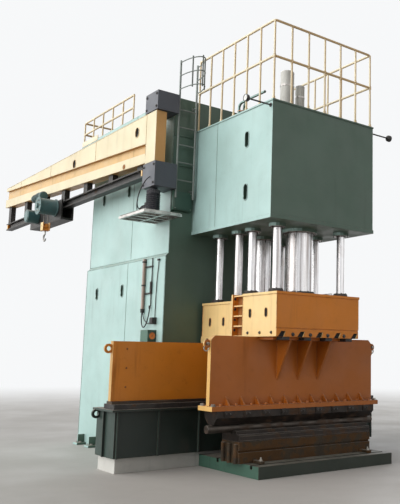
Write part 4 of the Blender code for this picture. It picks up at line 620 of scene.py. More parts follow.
def make_effects():
    """The shared effects: worn edges, blotches, runs, settled dust, the bleached side and sheet."""
    graph, source, result = effect_group(
        "worn_edges", [("Vector", VECTOR, None), ("Radius", VALUE, 0.005), ("Scale", VALUE, 14.0),
                       ("Wear", VALUE, 0.5)], [("Mask", VALUE), ("Normal", VECTOR)])
    rounded = graph.add("Bevel", {"Radius": source["Radius"]}, samples=4).outputs[0]
    flat = graph.add("NewGeometry").outputs["Normal"]
    match = graph.add("VectorMath", {0: rounded, 1: flat}, operation="DOT_PRODUCT").outputs["Value"]
    edge = graph.ramp(match, 0.995, 0.86)
    chips = graph.noise(source["Vector"], source["Scale"], 5.0, 0.65)
    level = graph.sum("ADD", chips, graph.sum("MULTIPLY", source["Wear"], 0.35))
    graph.feed(result["Mask"], graph.sum("MULTIPLY", edge, graph.ramp(level, 0.58, 0.72)))
    graph.feed(result["Normal"], rounded)

    graph, source, result = effect_group(
        "blotches", [("Vector", VECTOR, None), ("Scale", VALUE, 1.2), ("Low", VALUE, 0.42),
                     ("High", VALUE, 0.66)], [("Mask", VALUE)])
    cloud = graph.noise(source["Vector"], source["Scale"], 6.0, 0.62)
    made = graph.add("MapRange", {"Value": cloud, "From Min": source["Low"], "From Max": source["High"]},
                     interpolation_type="SMOOTHSTEP")
    graph.feed(result["Mask"], made.outputs[0])

    graph, source, result = effect_group(
        "run_marks", [("Vector", VECTOR, None), ("Scale", VALUE, 7.0), ("Amount", VALUE, 0.5)],
        [("Mask", VALUE)])
    runs = graph.noise(graph.stretched(source["Vector"], (1.0, 1.0, 0.07)), source["Scale"], 4.0, 0.6)
    where = graph.noise(source["Vector"], 0.9, 2.0)
    mask = graph.sum("MULTIPLY", graph.ramp(runs, 0.52, 0.74), graph.ramp(where, 0.42, 0.62))
    graph.feed(result["Mask"], graph.sum("MULTIPLY", mask, source["Amount"]))

    graph, source, result = effect_group(
        "settled_dust", [("Vector", VECTOR, None), ("Facing", VECTOR, None), ("Amount", VALUE, 0.6)],
        [("Mask", VALUE)])
    up = graph.add("SeparateXYZ", {0: source["Facing"]}).outputs["Z"]
    cloud = graph.noise(source["Vector"], 5.0, 6.0, 0.6)
    mask = graph.sum("MULTIPLY", graph.ramp(up, 0.35, 0.95), graph.ramp(cloud, 0.25, 0.75, 0.35, 1.0))
    graph.feed(result["Mask"], graph.sum("MULTIPLY", mask, source["Amount"], clamp=True))

    # Painted light: a mask of the faces turned to the left (-X), where the lighter copy of the paint stands
    # for sunlight from the left.
    graph, source, result = effect_group(
        "painted_sunlit_side", [("Vector", VECTOR, None), ("Facing", VECTOR, None)], [("Mask", VALUE)])
    left = graph.add("SeparateXYZ", {0: source["Facing"]}).outputs["X"]
    cloud = graph.noise(source["Vector"], 0.6, 3.0)
    mask = graph.sum("MULTIPLY", graph.ramp(left, -0.35, -0.9), graph.ramp(cloud, 0.2, 0.6, 0.82, 1.0))
    graph.feed(result["Mask"], mask)

    graph, source, result = effect_group(
        "sheet_surface", [("Vector", VECTOR, None), ("Waves", VALUE, 0.4), ("Peel", VALUE, 0.12)],
        [("Height", VALUE)])
    waves = graph.sum("MULTIPLY", graph.noise(source["Vector"], 2.2, 2.0), source["Waves"])
    peel = graph.sum("MULTIPLY", graph.noise(source["Vector"], 150.0, 2.0), source["Peel"])
    graph.feed(result["Height"], graph.sum("ADD", waves, peel))


def placed(graph, name, **inputs):
    """One of the shared effects, placed in a material with its own values."""
    made = graph.add("Group")
    made.node_tree = bpy.data.node_groups[name]
    for key, value in inputs.items():
        graph.feed(made.inputs[key], value)
    return made.outputs


def new_material(name):
    """An empty material with its graph, shader and object coordinates."""
    packed = bpy.data.materials.get(name)
    if packed:
        packed.name = f"{name}_packed"
    made = bpy.data.materials.new(name)
    made.use_nodes = True
    graph = Graph(made.node_tree)
    shader = made.node_tree.nodes["Principled BSDF"]
    coordinates = graph.add("TexCoord")
    return graph, shader, coordinates.outputs["Object"], coordinates.outputs["Normal"]


def painted(name, shaded_paint, sunlit_paint, under, wear=0.5, runs=0.5, dirt=0.5, dust=0.6, gloss=0.42,
            grime=(0.035, 0.028, 0.02), radius=None, sunlit_from=None):
    """Machine paint: bleached on the left, blotched, streaked, chipped at edges and dusty on top."""
    graph, shader, place, facing = new_material(name)
    radius = looks().edge_round if radius is None else radius
    # Painted light: the left-facing faces take the lighter copy of the paint; where an X limit is given, only
    # faces left of it do, as parts further in stand in shade.
    sunlit_mask = placed(graph, "painted_sunlit_side", Vector=place, Facing=facing)["Mask"]
    if sunlit_from is not None:
        across = graph.add("SeparateXYZ", {0: place}).outputs["X"]
        sunlit_mask = graph.sum("MULTIPLY", sunlit_mask, graph.ramp(across, sunlit_from + 0.05, sunlit_from - 0.05))
    # Painted shade and light: the darker copy of the paint, turned to the lighter copy by that mask.
    colour = graph.mix(shaded_paint, sunlit_paint, sunlit_mask)
    tone = placed(graph, "blotches", Vector=place, Scale=1.1, Low=0.3, High=0.7)["Mask"]
    colour = graph.mix(colour, graph.mix(colour, (0.55, 0.55, 0.52), 1.0, "MULTIPLY"),
                       graph.sum("MULTIPLY", tone, 0.28))
    spots = placed(graph, "blotches", Vector=place, Scale=9.0, Low=0.55, High=0.72)["Mask"]
    streaks = placed(graph, "run_marks", Vector=place, Scale=8.0, Amount=runs)["Mask"]
    marks = graph.sum("ADD", graph.sum("MULTIPLY", spots, dirt * 0.4), streaks, clamp=True)
    colour = graph.mix(colour, grime, graph.sum("MULTIPLY", marks, dirt))
    edges = placed(graph, "worn_edges", Vector=place, Radius=radius, Scale=16.0, Wear=wear)
    colour = graph.mix(colour, under, edges["Mask"])
    top = placed(graph, "settled_dust", Vector=place, Facing=facing, Amount=dust)["Mask"]
    colour = graph.mix(colour, tuple(looks().dust), top)
    rough = graph.ramp(graph.noise(place, 3.0, 4.0), 0.3, 0.7, gloss - 0.06, gloss + 0.1)
    rough = graph.sum("ADD", rough, graph.sum("MULTIPLY", graph.sum("ADD", marks, top), 0.3), clamp=True)
    height = placed(graph, "sheet_surface", Vector=place, Waves=0.5, Peel=0.05)["Height"]
    height = graph.sum("SUBTRACT", height, graph.sum("MULTIPLY", edges["Mask"], 0.08))
    bump = graph.add("Bump", {"Height": height, "Distance": 0.004, "Strength": 0.35,
                              "Normal": edges["Normal"]})
    graph.feed(shader.inputs["Base Color"], colour)
    graph.feed(shader.inputs["Roughness"], rough)
    graph.feed(shader.inputs["Metallic"], graph.sum("MULTIPLY", edges["Mask"], 0.3))
    graph.feed(shader.inputs["Normal"], bump.outputs[0])
    return graph, shader


def steel(name, base, rust, rusting=0.4, gloss=0.35, metal=0.85, dust=0.4, grain=(1.0, 1.0, 1.0),
          radius=0.002):
    """Bare or scaled steel: cloudy tone, fine grain, rust patches, bright worn edges and dust."""
    graph, shader, place, facing = new_material(name)
    cloud = graph.noise(place, 6.0, 5.0, 0.6)
    colour = graph.mix(base, tuple(channel * 0.55 for channel in base), graph.ramp(cloud, 0.35, 0.7))
    low = 0.72 - rusting * 0.4
    patches = placed(graph, "blotches", Vector=place, Scale=5.0, Low=low, High=low + 0.12)["Mask"]
    speck = placed(graph, "blotches", Vector=place, Scale=38.0, Low=0.62, High=0.7)["Mask"]
    rusty = graph.sum("ADD", patches, graph.sum("MULTIPLY", speck, rusting), clamp=True)
    colour = graph.mix(colour, graph.mix(rust, tuple(channel * 0.4 for channel in rust), cloud), rusty)
    edges = placed(graph, "worn_edges", Vector=place, Radius=radius, Scale=30.0, Wear=0.8)
    colour = graph.mix(colour, (0.42, 0.40, 0.38), graph.sum("MULTIPLY", edges["Mask"], 0.7))
    top = placed(graph, "settled_dust", Vector=place, Facing=facing, Amount=dust)["Mask"]
    colour = graph.mix(colour, tuple(looks().dust), top)
    lines = graph.noise(graph.stretched(place, grain), 60.0, 3.0)
    rough = graph.ramp(lines, 0.3, 0.7, gloss - 0.08, gloss + 0.1)
    rough = graph.sum("ADD", rough, graph.sum("MULTIPLY", graph.sum("ADD", rusty, top), 0.35), clamp=True)
    height = graph.sum("ADD", graph.sum("MULTIPLY", lines, 0.12), graph.sum("MULTIPLY", rusty, 0.3))
    bump = graph.add("Bump", {"Height": height, "Distance": 0.002, "Strength": 0.4,
                              "Normal": edges["Normal"]})
    hidden = graph.sum("ADD", rusty, top, clamp=True)
    graph.feed(shader.inputs["Base Color"], colour)
    graph.feed(shader.inputs["Roughness"], rough)
    graph.feed(shader.inputs["Metallic"], graph.ramp(hidden, 0.0, 1.0, metal, 0.05))
    graph.feed(shader.inputs["Normal"], bump.outputs[0])


def chrome(name):
    """A ground and chromed rod: bright, with fine scratches along it and thin oily smears."""
    graph, shader, place, facing = new_material(name)
    lines = graph.noise(graph.stretched(place, (1.0, 1.0, 0.03)), 130.0, 2.0)
    smear = placed(graph, "blotches", Vector=place, Scale=3.5, Low=0.5, High=0.75)["Mask"]
    # Painted reflection: dark bands along the rod stand for the dark hall mirrored in the chrome.
    bands = graph.noise(graph.stretched(place, (1.0, 1.0, 0.02)), 22.0, 3.0, 0.7)
    colour = graph.mix((0.80, 0.79, 0.80), (0.36, 0.33, 0.32), graph.ramp(bands, 0.42, 0.68))
    colour = graph.mix(colour, (0.30, 0.24, 0.18), graph.sum("MULTIPLY", smear, 0.4))
    graph.feed(shader.inputs["Base Color"], colour)
    graph.feed(shader.inputs["Roughness"], graph.sum("ADD", graph.ramp(lines, 0.35, 0.65, 0.20, 0.32),
                                                      graph.sum("MULTIPLY", smear, 0.15)))
    shader.inputs["Metallic"].default_value = 1.0
    bump = graph.add("Bump", {"Height": lines, "Distance": 0.0005, "Strength": 0.2})
    graph.feed(shader.inputs["Normal"], bump.outputs[0])


def rubber(name, colour, gloss=0.6):
    """Cable sheath or seal rubber: nearly even, with dull dusty patches and a fine pebble."""
    graph, shader, place, facing = new_material(name)
    patches = placed(graph, "blotches", Vector=place, Scale=12.0, Low=0.4, High=0.7)["Mask"]
    top = placed(graph, "settled_dust", Vector=place, Facing=facing, Amount=0.5)["Mask"]
    tone = graph.mix(colour, tuple(channel * 1.9 + 0.01 for channel in colour), patches)
    graph.feed(shader.inputs["Base Color"], graph.mix(tone, tuple(looks().dust), top))
    graph.feed(shader.inputs["Roughness"], graph.ramp(patches, 0.0, 1.0, gloss - 0.1, gloss + 0.15))
    bump = graph.add("Bump", {"Height": graph.noise(place, 240.0, 2.0), "Distance": 0.0006, "Strength": 0.3})
    graph.feed(shader.inputs["Normal"], bump.outputs[0])


def timber(name):
    """Used packing timber: long grain, dark oil soak and pale bruises."""
    graph, shader, place, facing = new_material(name)
    grain = graph.noise(graph.stretched(place, (0.06, 1.0, 1.0)), 70.0, 5.0, 0.7)
    soak = placed(graph, "blotches", Vector=place, Scale=3.0, Low=0.35, High=0.6)["Mask"]
    colour = graph.mix((0.13, 0.085, 0.05), (0.05, 0.032, 0.02), graph.ramp(grain, 0.35, 0.65))
    graph.feed(shader.inputs["Base Color"], graph.mix(colour, (0.02, 0.014, 0.01), soak))
    graph.feed(shader.inputs["Roughness"], graph.ramp(soak, 0.0, 1.0, 0.85, 0.55))
    bump = graph.add("Bump", {"Height": grain, "Distance": 0.003, "Strength": 0.6})
    graph.feed(shader.inputs["Normal"], bump.outputs[0])


def lamp_glass(name):
    """Toughened lamp glass over a pale reflector, with a dusty film."""
    graph, shader, place, facing = new_material(name)
    film = placed(graph, "blotches", Vector=place, Scale=30.0, Low=0.4, High=0.7)["Mask"]
    graph.feed(shader.inputs["Base Color"], graph.mix((0.80, 0.82, 0.80), (0.45, 0.43, 0.38), film))
    graph.feed(shader.inputs["Roughness"], graph.ramp(film, 0.0, 1.0, 0.08, 0.35))
    shader.inputs["Coat Weight"].default_value = 0.6


def make_materials():
    """All finishes, named as the record's slots where they are the same."""
    make_effects()
    settings = looks()
    green, green_faded = tuple(settings.green), tuple(settings.green_faded)
    primer = (0.16, 0.10, 0.07)
    # Painted shade and light: each painted finish below takes a darker copy of its paint and a lighter copy
    # for the left-facing faces, which stands for sunlight.
    painted("press_green", green, green_faded, primer, wear=0.25, runs=0.35, dirt=0.35, dust=0.55)
    painted("bed_green", (0.006, 0.014, 0.010), (0.03, 0.055, 0.045), (0.10, 0.06, 0.04), wear=0.7, runs=0.8,
            dirt=0.8, dust=0.75, gloss=0.5)
    painted("bolster_green", (0.013, 0.020, 0.012), (0.045, 0.115, 0.08), (0.12, 0.075, 0.045), wear=0.6,
            runs=0.4, dirt=0.9, dust=0.35, gloss=0.55)
    painted("slide_yellow", tuple(settings.yellow), tuple(settings.yellow_faded), (0.20, 0.09, 0.035),
            wear=0.45, runs=0.5, dirt=0.45, dust=0.5, gloss=0.4, grime=(0.10, 0.035, 0.01))
    painted("beam_yellow", (0.62, 0.205, 0.014), (0.72, 0.44, 0.15), (0.17, 0.075, 0.03), wear=0.6, runs=0.9,
            dirt=0.6, dust=0.5, gloss=0.45, grime=(0.12, 0.035, 0.008))
    # Painted shade: a darker copy of the beam yellow for the die beam's deeper shade; its lighter, sunlit
    # copy is kept to the beam's left end, left of X -1.40.
    painted("die_beam_yellow", (0.41, 0.115, 0.009), (0.85, 0.52, 0.17), (0.14, 0.06, 0.025), wear=0.6,
            runs=0.9, dirt=0.6, dust=0.3, gloss=0.45, grime=(0.10, 0.03, 0.007), sunlit_from=-1.40)
    # Dark brown paint: on the sheet in the slide's joint recess it is painted shade; on the plugs it is their
    # own colour.
    painted("recess_brown", (0.22, 0.07, 0.012), (0.42, 0.16, 0.035), (0.08, 0.035, 0.015), wear=0.9,
            runs=1.0, dirt=1.0, dust=0.4, gloss=0.6, grime=(0.04, 0.015, 0.005))
    painted("box_green", (0.022, 0.062, 0.042), (0.06, 0.15, 0.105), primer, wear=0.4, runs=0.4, dirt=0.5)
    painted("bracket_slate", (0.062, 0.067, 0.083), (0.115, 0.122, 0.145), primer, wear=0.4, runs=0.3,
            dirt=0.6, dust=0.5, gloss=0.5)
    painted("ladder_grey", (0.17, 0.19, 0.175), (0.30, 0.34, 0.32), primer, wear=0.4, runs=0.2, dirt=0.4,
            radius=0.001)
    painted("jib_yellow", tuple(settings.crane_yellow), tuple(settings.crane_faded), primer, wear=0.2,
            runs=0.3, dirt=0.25, dust=0.4)
    # Painted shade: a darker, more orange copy of the crane yellow for the jib's recessed web, standing for
    # the shade under the upper box.
    painted("jib_web_orange", (0.50, 0.25, 0.06), (0.74, 0.48, 0.19), primer, wear=0.3, runs=0.6, dirt=0.5)
    painted("rail_yellow", (0.68, 0.47, 0.24), (0.88, 0.78, 0.56), primer, wear=0.5, runs=0.1,
            dirt=0.35, dust=0.3, radius=0.001)
    painted("conduit_tan", (0.34, 0.25, 0.20), (0.48, 0.37, 0.31), (0.20, 0.15, 0.12), wear=0.3, runs=0.4,
            dirt=0.6)
    painted("pale_grey", (0.46, 0.45, 0.42), (0.62, 0.61, 0.57), primer, wear=0.5, runs=0.5, dirt=0.45)
    painted("hoist_teal", (0.045, 0.12, 0.125), (0.11, 0.20, 0.20), primer, wear=0.5, runs=0.2, dirt=0.6)
    painted("dial_orange", (0.72, 0.20, 0.03), (0.78, 0.30, 0.06), primer, wear=0.4, runs=0.1, dirt=0.3)
    steel("die_rust", (0.040, 0.026, 0.012), (0.105, 0.048, 0.012), rusting=0.75, gloss=0.6, metal=0.4,
          dust=0.45)
    steel("tool_steel", (0.028, 0.021, 0.017), (0.075, 0.036, 0.015), rusting=0.55, gloss=0.5, metal=0.5,
          dust=0.3, grain=(0.05, 1.0, 1.0))
    steel("punch_steel", (0.075, 0.062, 0.052), (0.07, 0.036, 0.018), rusting=0.6, gloss=0.42, metal=0.7,
          dust=0.2, grain=(0.05, 1.0, 1.0))
    steel("drive_steel", (0.022, 0.022, 0.030), (0.045, 0.032, 0.028), rusting=0.2, gloss=0.5, metal=0.3)
    steel("black_steel", (0.045, 0.042, 0.04), (0.10, 0.05, 0.025), rusting=0.35, gloss=0.5, metal=0.5)
    steel("bare_steel", (0.50, 0.48, 0.46), (0.15, 0.075, 0.035), rusting=0.2, gloss=0.32, metal=0.95)
    # Painted shade: near-black steel for the sheets set inside holes, slots and pockets, standing for the
    # darkness inside them.
    steel("hole_dark", (0.006, 0.006, 0.006), (0.02, 0.01, 0.006), rusting=0.2, gloss=0.9, metal=0.1,
          dust=0.2)
    steel("zinc_bolt", (0.42, 0.40, 0.36), (0.16, 0.08, 0.035), rusting=0.45, gloss=0.4, metal=0.9,
          radius=0.001)
    steel("rope_wire", (0.22, 0.20, 0.18), (0.12, 0.07, 0.035), rusting=0.3, gloss=0.4, metal=0.8,
          grain=(1.0, 1.0, 0.2), radius=0.0005)
    chrome("rod_chrome")
    rubber("cable_sheath", (0.012, 0.012, 0.013))
    rubber("seal_rubber", (0.035, 0.02, 0.014), 0.45)
    timber("packing_timber")
    lamp_glass("lamp_glass")


SPECIAL_FINISHES = {"bolster": "bolster_green", "die_beam": "die_beam_yellow", "rear_beam": "beam_yellow",
                    "dial_box": "box_green", "upper_die": "tool_steel", "grooved_die": "tool_steel",
                    "upper_bracket": "bracket_slate", "lower_bracket": "bracket_slate"}


def finish_nodes():
    """Every CAD node takes the finish of its slot, or a finish of its own."""
    slots = {row["node"]: row["material_slot"] for row in frame["record"]["subparts"]}
    for name, node in frame["nodes"].items():
        finish = SPECIAL_FINISHES.get(name, slots[name])
        node.data.materials.clear()
        node.data.materials.append(bpy.data.materials[finish])


def rod_places():
    """X, Y, radius and standing height of every rod."""
    rows = [(*FRONT_PLUNGER, FRONT_TOP), (*REAR_PLUNGER, REAR_TOP)]
    for top, guide_rows in ((FRONT_TOP, FRONT_GUIDE_ROWS), (REAR_TOP, REAR_GUIDE_ROWS)):
        rows += [(x, y, GUIDE_RADIUS, top) for y in guide_rows for x in (-GUIDE_X, GUIDE_X)]
    return rows


def dress_rods():
    """Chromed rods in place of the faceted ones, with wiper rings, split collars and bolts."""
    plungers, guides, collars, bolts, wipers, gland_bolts, rims = [], [], [], [], [], [], []
    underside = HEAD_UNDERSIDE - GLAND_HEIGHT
    for x, y, radius, top in rod_places():
        is_plunger = radius > GUIDE_RADIUS
        high = HEAD_UNDERSIDE + (PLUNGER_REACH if is_plunger else ROD_REACH)
        (plungers if is_plunger else guides).append(bar("z", (x, y), radius, top + FIT, high, 0.006))
        wall = radius + COLLAR_WALL
        collar_top = top + COLLAR_HEIGHT
        lid_top = collar_top + COLLAR_LID
        collars.append(ring("z", (x, y), radius + FIT, wall * 0.97, collar_top, lid_top))
        collars.append(ring("z", (x, y), wall - 0.004, wall + 0.003, top + FIT, collar_top + 0.002))
        count = PLUNGER_BOLTS if is_plunger else ROD_BOLTS
        bolts.append(circle_places((x, y), radius + COLLAR_WALL * 0.45, count, lid_top))
        wipers.append(ring("z", (x, y), radius + SINK, radius + 0.02, underside - 0.012, underside + SINK))
        rims.append(ring("z", (x, y), radius + 0.016, radius + GLAND_WALL, underside - 0.006,
                         underside + SINK, 0.003))
        gland_bolts.append(circle_places((x, y), radius + GLAND_WALL * 0.72, count, underside - 0.006, 0.2))
    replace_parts(dressed("plungers", plungers, "rod_chrome", "slide"), "front_plunger", "rear_plunger")
    nodes = [f"guide_rod_{number}" for number in range(1, 9)]
    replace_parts(dressed("guide_rods", guides, "rod_chrome", "slide"), *nodes)
    dressed("rod_collars", collars, "black_steel", "slide")
    head = socket_bolt(0.010)
    bolted("collar_bolts", head, np.concatenate(bolts), UP, "black_steel", "slide")
    solid("wiper_rings", wipers, "seal_rubber", "frame")
    dressed("gland_rims", rims, "bare_steel", "frame")
    bolted("gland_bolts", head, np.concatenate(gland_bolts), DOWN, "black_steel", "frame")


def dress_head():
    """Weld seams, hole rims and lifting eyes of the head."""
    low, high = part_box("head_walls")
    beads = []
    for x in (low.x, high.x):
        beads += seams([((x, HEAD_SEAM_Y, low.z), (x, HEAD_SEAM_Y, high.z)),
                        ((x, low.y, low.z), (x, high.y, low.z)), ((x, low.y, high.z), (x, high.y, high.z)),
                        ((x, low.y, low.z), (x, low.y, high.z))])
        beads += seams([((x, high.y - 0.004, low.z), (x, high.y - 0.004, high.z))], 0.018)
    beads += seams([((low.x, low.y, z), (high.x, low.y, z)) for z in (low.z, high.z)])
    dressed("head_welds", beads, "press_green", "frame")
    rims = [oval_rim("x", (HEAD_HOLE_Y, z), x, HOLE_WIDTH, HEAD_HOLE_HEIGHT, side)
            for side, x in ((-1, low.x), (1, high.x)) for z in HEAD_HOLE_HEIGHTS]
    dressed("head_hole_rims", rims, "press_green", "frame")
    eyes = []
    for x, y in ((-0.7, -0.7), (-0.7, 0.75), (0.7, -0.7), (0.7, 0.75)):
        loop = arc("x", (y, ROOF_TOP + 0.062), x, 0.045, 0.0, 2 * math.pi, 25)
        eyes += [tube(loop, 0.012, 10, RIGHT),
                 bar("z", (x, y), 0.032, ROOF_TOP - SINK, ROOF_TOP + 0.018, 0.003, 20)]
    dressed("lifting_eyes", eyes, "press_green", "frame")


def dress_column():
    """Weld seams, hole rims, the valve cabinet on the front step and the foot plates with bolts."""
    low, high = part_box("column")
    beads, rims, feet, bolts = [], [], [], []
    for side in (-1, 1):
        face, upper = side * COLUMN_FACE, side * UPPER_FACE
        for y, below, above in ((low.y, 3.05, 3.094), (high.y, 3.05, 3.094), (COLUMN_SEAM_Y, 3.04, 3.12)):
            beads += seams([((face, y, 0.0), (face, y, below)), ((upper, y, above), (upper, y, high.z))])
        beads += seams([((face, low.y, STEP_LOW), (face, high.y, STEP_LOW)),
                        ((upper, low.y, STEP_HIGH), (upper, high.y, STEP_HIGH))], THICK_BEAD)
        for y in COLUMN_HOLES_Y:
            rims.append(oval_rim("x", (y, 2.60), face, HOLE_WIDTH, COLUMN_HOLE_HEIGHT, side))
            rims.append(oval_rim("x", (y, 4.30), upper, HOLE_WIDTH, COLUMN_HOLE_HEIGHT, side))
        for y in np.linspace(1.35, 3.75, 6):
            feet.append(block((face, y - 0.09, 0.0), (face + side * 0.16, y + 0.09, FOOT_PLATE)))
            feet.append(block((face, y - 0.012, 0.03), (face + side * 0.12, y + 0.012, 0.17)))
            bolts += [(face + side * 0.09, y + step, FOOT_PLATE) for step in (-0.05, 0.05)]
    dressed("column_welds", beads, "press_green", "frame")
    dressed("column_hole_rims", rims, "press_green", "frame")
    left, right, bottom, top = CABINET
    cabinet = [block((left, 0.995, bottom), (right, 1.075, top), 0.008),
               block((left + 0.015, 0.986, bottom + 0.015), (right - 0.015, 0.997, top - 0.015), 0.004)]
    solid("valve_cabinet", cabinet, "box_green", "frame")
    places = [(x, 0.986, z) for x in (left + 0.03, right - 0.03) for z in (bottom + 0.03, top - 0.03)]
    bolted("cabinet_screws", socket_bolt(0.007), places, FRONT, "zinc_bolt", "frame")
    dressed("foot_plates", feet, "press_green", "frame")
    bolted("foot_bolts", hexagon_bolt(0.024), bolts, UP, "zinc_bolt", "frame")


def dress_slide():
    """Bolts, welds, slot backs and grease lines of the two slide blocks."""
    radius = looks().bolt_radius
    bolts = [(x, SLIDE_FRONT, 1.862) for x in (-0.47, -0.16, 0.16, 0.47)]
    bolted("band_bolts", hexagon_bolt(radius * 1.25), bolts, FRONT, "black_steel", "slide")
    for side, name in ((-1, "left"), (1, "right")):
        rows = [(side * SLIDE_FACE, y, 1.885) for y in (-0.80, -0.53, -0.24)]
        rows += [(side * 0.766, y, 1.795) for y in (0.36, 0.82)]
        bolted(f"{name}_band_bolts", hexagon_bolt(radius), rows, (side, 0, 0), "black_steel", "slide")
    # Painted shade: near-black sheets just inside the slanted pockets and the side slots, standing for the
    # shade within them.
    shade_sheets = []
    for x in np.linspace(-POCKET_END, POCKET_END, 5):
        outline = [(POCKET_LOW, x - POCKET_HALF), (POCKET_LOW, x + POCKET_HALF / 2),
                   (POCKET_HIGH, x + POCKET_HALF), (POCKET_HIGH, x)]
        shade_sheets.append(plate("y", outline, SLIDE_FRONT + 0.014, SLIDE_FRONT + 0.02))
    solid("pocket_shade", shade_sheets, "hole_dark", "slide")
    sides = [(side, place) for side in (-1, 1) for place in SLIDE_SLOTS]
    shade_sheets = [plate("x", oval(place, *SLIDE_SLOT), side * (SLIDE_FACE - 0.010), side * (SLIDE_FACE - 0.004))
             for side, place in sides]
    solid("slide_slot_shade", shade_sheets, "hole_dark", "slide")
    # Painted shade: a dark brown sheet at the bottom of the joint recess between the slide blocks, standing
    # for the shade there.
    joint_shade = [block((side * 0.6645, -0.098, 1.852), (side * 0.680, 0.128, 2.405)) for side in (-1, 1)]
    solid("joint_recess_shade", joint_shade, "recess_brown", "slide")
    head = hexagon_bolt(radius * 0.9)
    heights = (1.93, 2.08, 2.23, 2.38)
    heads = [(side * 0.735, 0.13, z) for side in (-1, 1) for z in heights]
    bolted("joint_bolts", head, heads, FRONT, "black_steel", "slide")
    nuts = [(side * 0.735, 0.2003, z) for side in (-1, 1) for z in heights[:3]]
    bolted("joint_nuts", head, nuts, BACK, "zinc_bolt", "slide")
    beads = []
    for side in (-1, 1):
        x = side * SLIDE_FACE
        beads += seams([((x, SLIDE_FRONT, 1.95), (x, SLIDE_FRONT, BLOCK_TOP)),
                        ((x, SLIDE_FRONT, BLOCK_TOP), (x, -0.10, BLOCK_TOP)),
                        ((x, -0.10, 1.84), (x, -0.10, 2.40)),
                        ((x, 0.205, 1.85), (x, 0.205, 2.31)), ((x, 0.99, 1.85), (x, 0.99, 2.31)),
                        ((x, 0.2, 2.318), (x, 0.99, 2.318))])
    beads += seams([((-SLIDE_FACE, SLIDE_FRONT, BLOCK_TOP), (SLIDE_FACE, SLIDE_FRONT, BLOCK_TOP))])
    dressed("slide_welds", beads, "slide_yellow", "slide")
    lines = []
    for x in (-0.33, 0.33):
        corners = [(x, -0.80, FRONT_TOP), (x, -0.80, FRONT_TOP + 0.032), (x, -0.52, FRONT_TOP + 0.032),
                   (x, -0.52, FRONT_TOP)]
        lines.append(tube(bent_path(corners, 0.012), 0.006, 10, RIGHT))
    dressed("grease_lines", lines, "bare_steel", "slide")
    rims = [oval_rim("x", place, side * SLIDE_FACE, *SLIDE_SLOT, side, 0.005) for side, place in sides]
    dressed("slide_hole_rims", rims, "slide_yellow", "slide")


def dress_die_beam():
    """Gusset and rib welds, the clamps, end nuts and shackles of the front die beam."""
    low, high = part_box("die_beam")
    beads = []
    for x in GUSSET_PLACES:
        for edge in (x - 0.0175, x + 0.0175):
            beads += seams([((edge, y, 1.235), (edge, y, 1.785)) for y in (WEB_FRONT, WEB_BACK)])
            beads += seams([((edge, WEB_FRONT, WEB_TOP), (edge, WEB_FRONT - GUSSET_REACH, WEB_TOP))])
    for x in np.linspace(-RIB_END, RIB_END, RIB_COUNT):
        for edge in (x - 0.011, x + 0.011):
            beads += seams([((edge, WEB_FRONT, 0.91), (edge, WEB_FRONT, 1.02)),
                            ((edge, WEB_FRONT, FLANGE_TOP), (edge, WEB_FRONT - 0.10, FLANGE_TOP))], 0.009)
    beads += seams([((low.x + 0.09, y, FLANGE_TOP), (high.x - 0.09, y, FLANGE_TOP))
                    for y in (WEB_FRONT, WEB_BACK)],
                   THICK_BEAD)
    beads += seams([((-0.70, WEB_FRONT, WEB_TOP), (0.70, WEB_FRONT, WEB_TOP))], THICK_BEAD)
    solid("beam_welds", beads, "die_beam_yellow", "slide")
    clamps = [block((x - 0.061, -0.901, 1.784), (x + 0.061, -0.718, 1.8295))
              for x in np.linspace(-0.58, 0.58, 4)]
    dressed("beam_clamps", clamps, "black_steel", "slide")
    nuts = [(x, y, FLANGE_TOP) for x in (-1.462, 1.462) for y in (-0.525, -0.255)]
    bolted("flange_end_nuts", hexagon_bolt(0.030), nuts, UP, "zinc_bolt", "slide")
    bows, pins = [], []
    for side in (-1, 1):
        x = side * 1.513
        bow = arc("y", (1.66, x + side * 0.012), PRESS_LINE - SINK, 0.036, math.pi / 4, 7 * math.pi / 4)
        bows.append(tube(bow, 0.0085, 10, BACK))
        pins.append(bar("y", (1.7198, x), 0.018, PRESS_LINE - 0.045, PRESS_LINE + 0.045, 0.003, 20))
    solid("shackle_bows", bows, "zinc_bolt", "slide")
    solid("shackle_pins", pins, "zinc_bolt", "slide")


def dress_tools():
    """The punch bar, the die clamps and their screws, and the clamps on the bolster."""
    punch = bar("x", (PRESS_LINE, PUNCH_Z), PUNCH_RADIUS, -PUNCH_HALF, PUNCH_HALF, 0.006)
    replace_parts(solid("punch", [punch], "punch_steel", "slide"), "punch_bar")
    front = PRESS_LINE - 0.15
    places = np.linspace(-1.25, 1.25, 9)
    clamps = [block((x - 0.06, front - 0.012, 0.765), (x + 0.06, front + 0.004, 0.842), 0.003)
              for x in places]
    solid("die_clamps", clamps, "tool_steel", "slide")
    screws = [(x + step, front - 0.012, 0.803) for x in places for step in (-0.03, 0.03)]
    bolted("die_screws", socket_bolt(0.011), screws, FRONT, "black_steel", "slide")
    nuts, studs, straps = [], [], []
    for x in (-0.85, 1.1):
        for y, toe in ((-0.76, 1), (-0.03, -1)):
            studs.append(bar("z", (x, y), 0.012, 0.11, 0.245, 0.002, 14))
            nuts.append((x, y, 0.20))
            straps.append(block((x - 0.03, y - toe * 0.05, 0.16), (x + 0.03, y + toe * 0.14, 0.20)))
    solid("bolster_studs", studs, "zinc_bolt", "frame")
    dressed("bolster_straps", straps, "die_rust", "frame")
    bolted("bolster_nuts", hexagon_bolt(0.021), nuts, UP, "zinc_bolt", "frame")
    strips = [block((-1.09, PRESS_LINE - reach - 0.004, z), (1.27, PRESS_LINE - reach + 0.004, z + 0.012),
                    0.002)
              for z, reach in ((0.447, 0.211), (0.505, 0.2105))]
    solid("die_ledges", strips, "punch_steel", "frame")


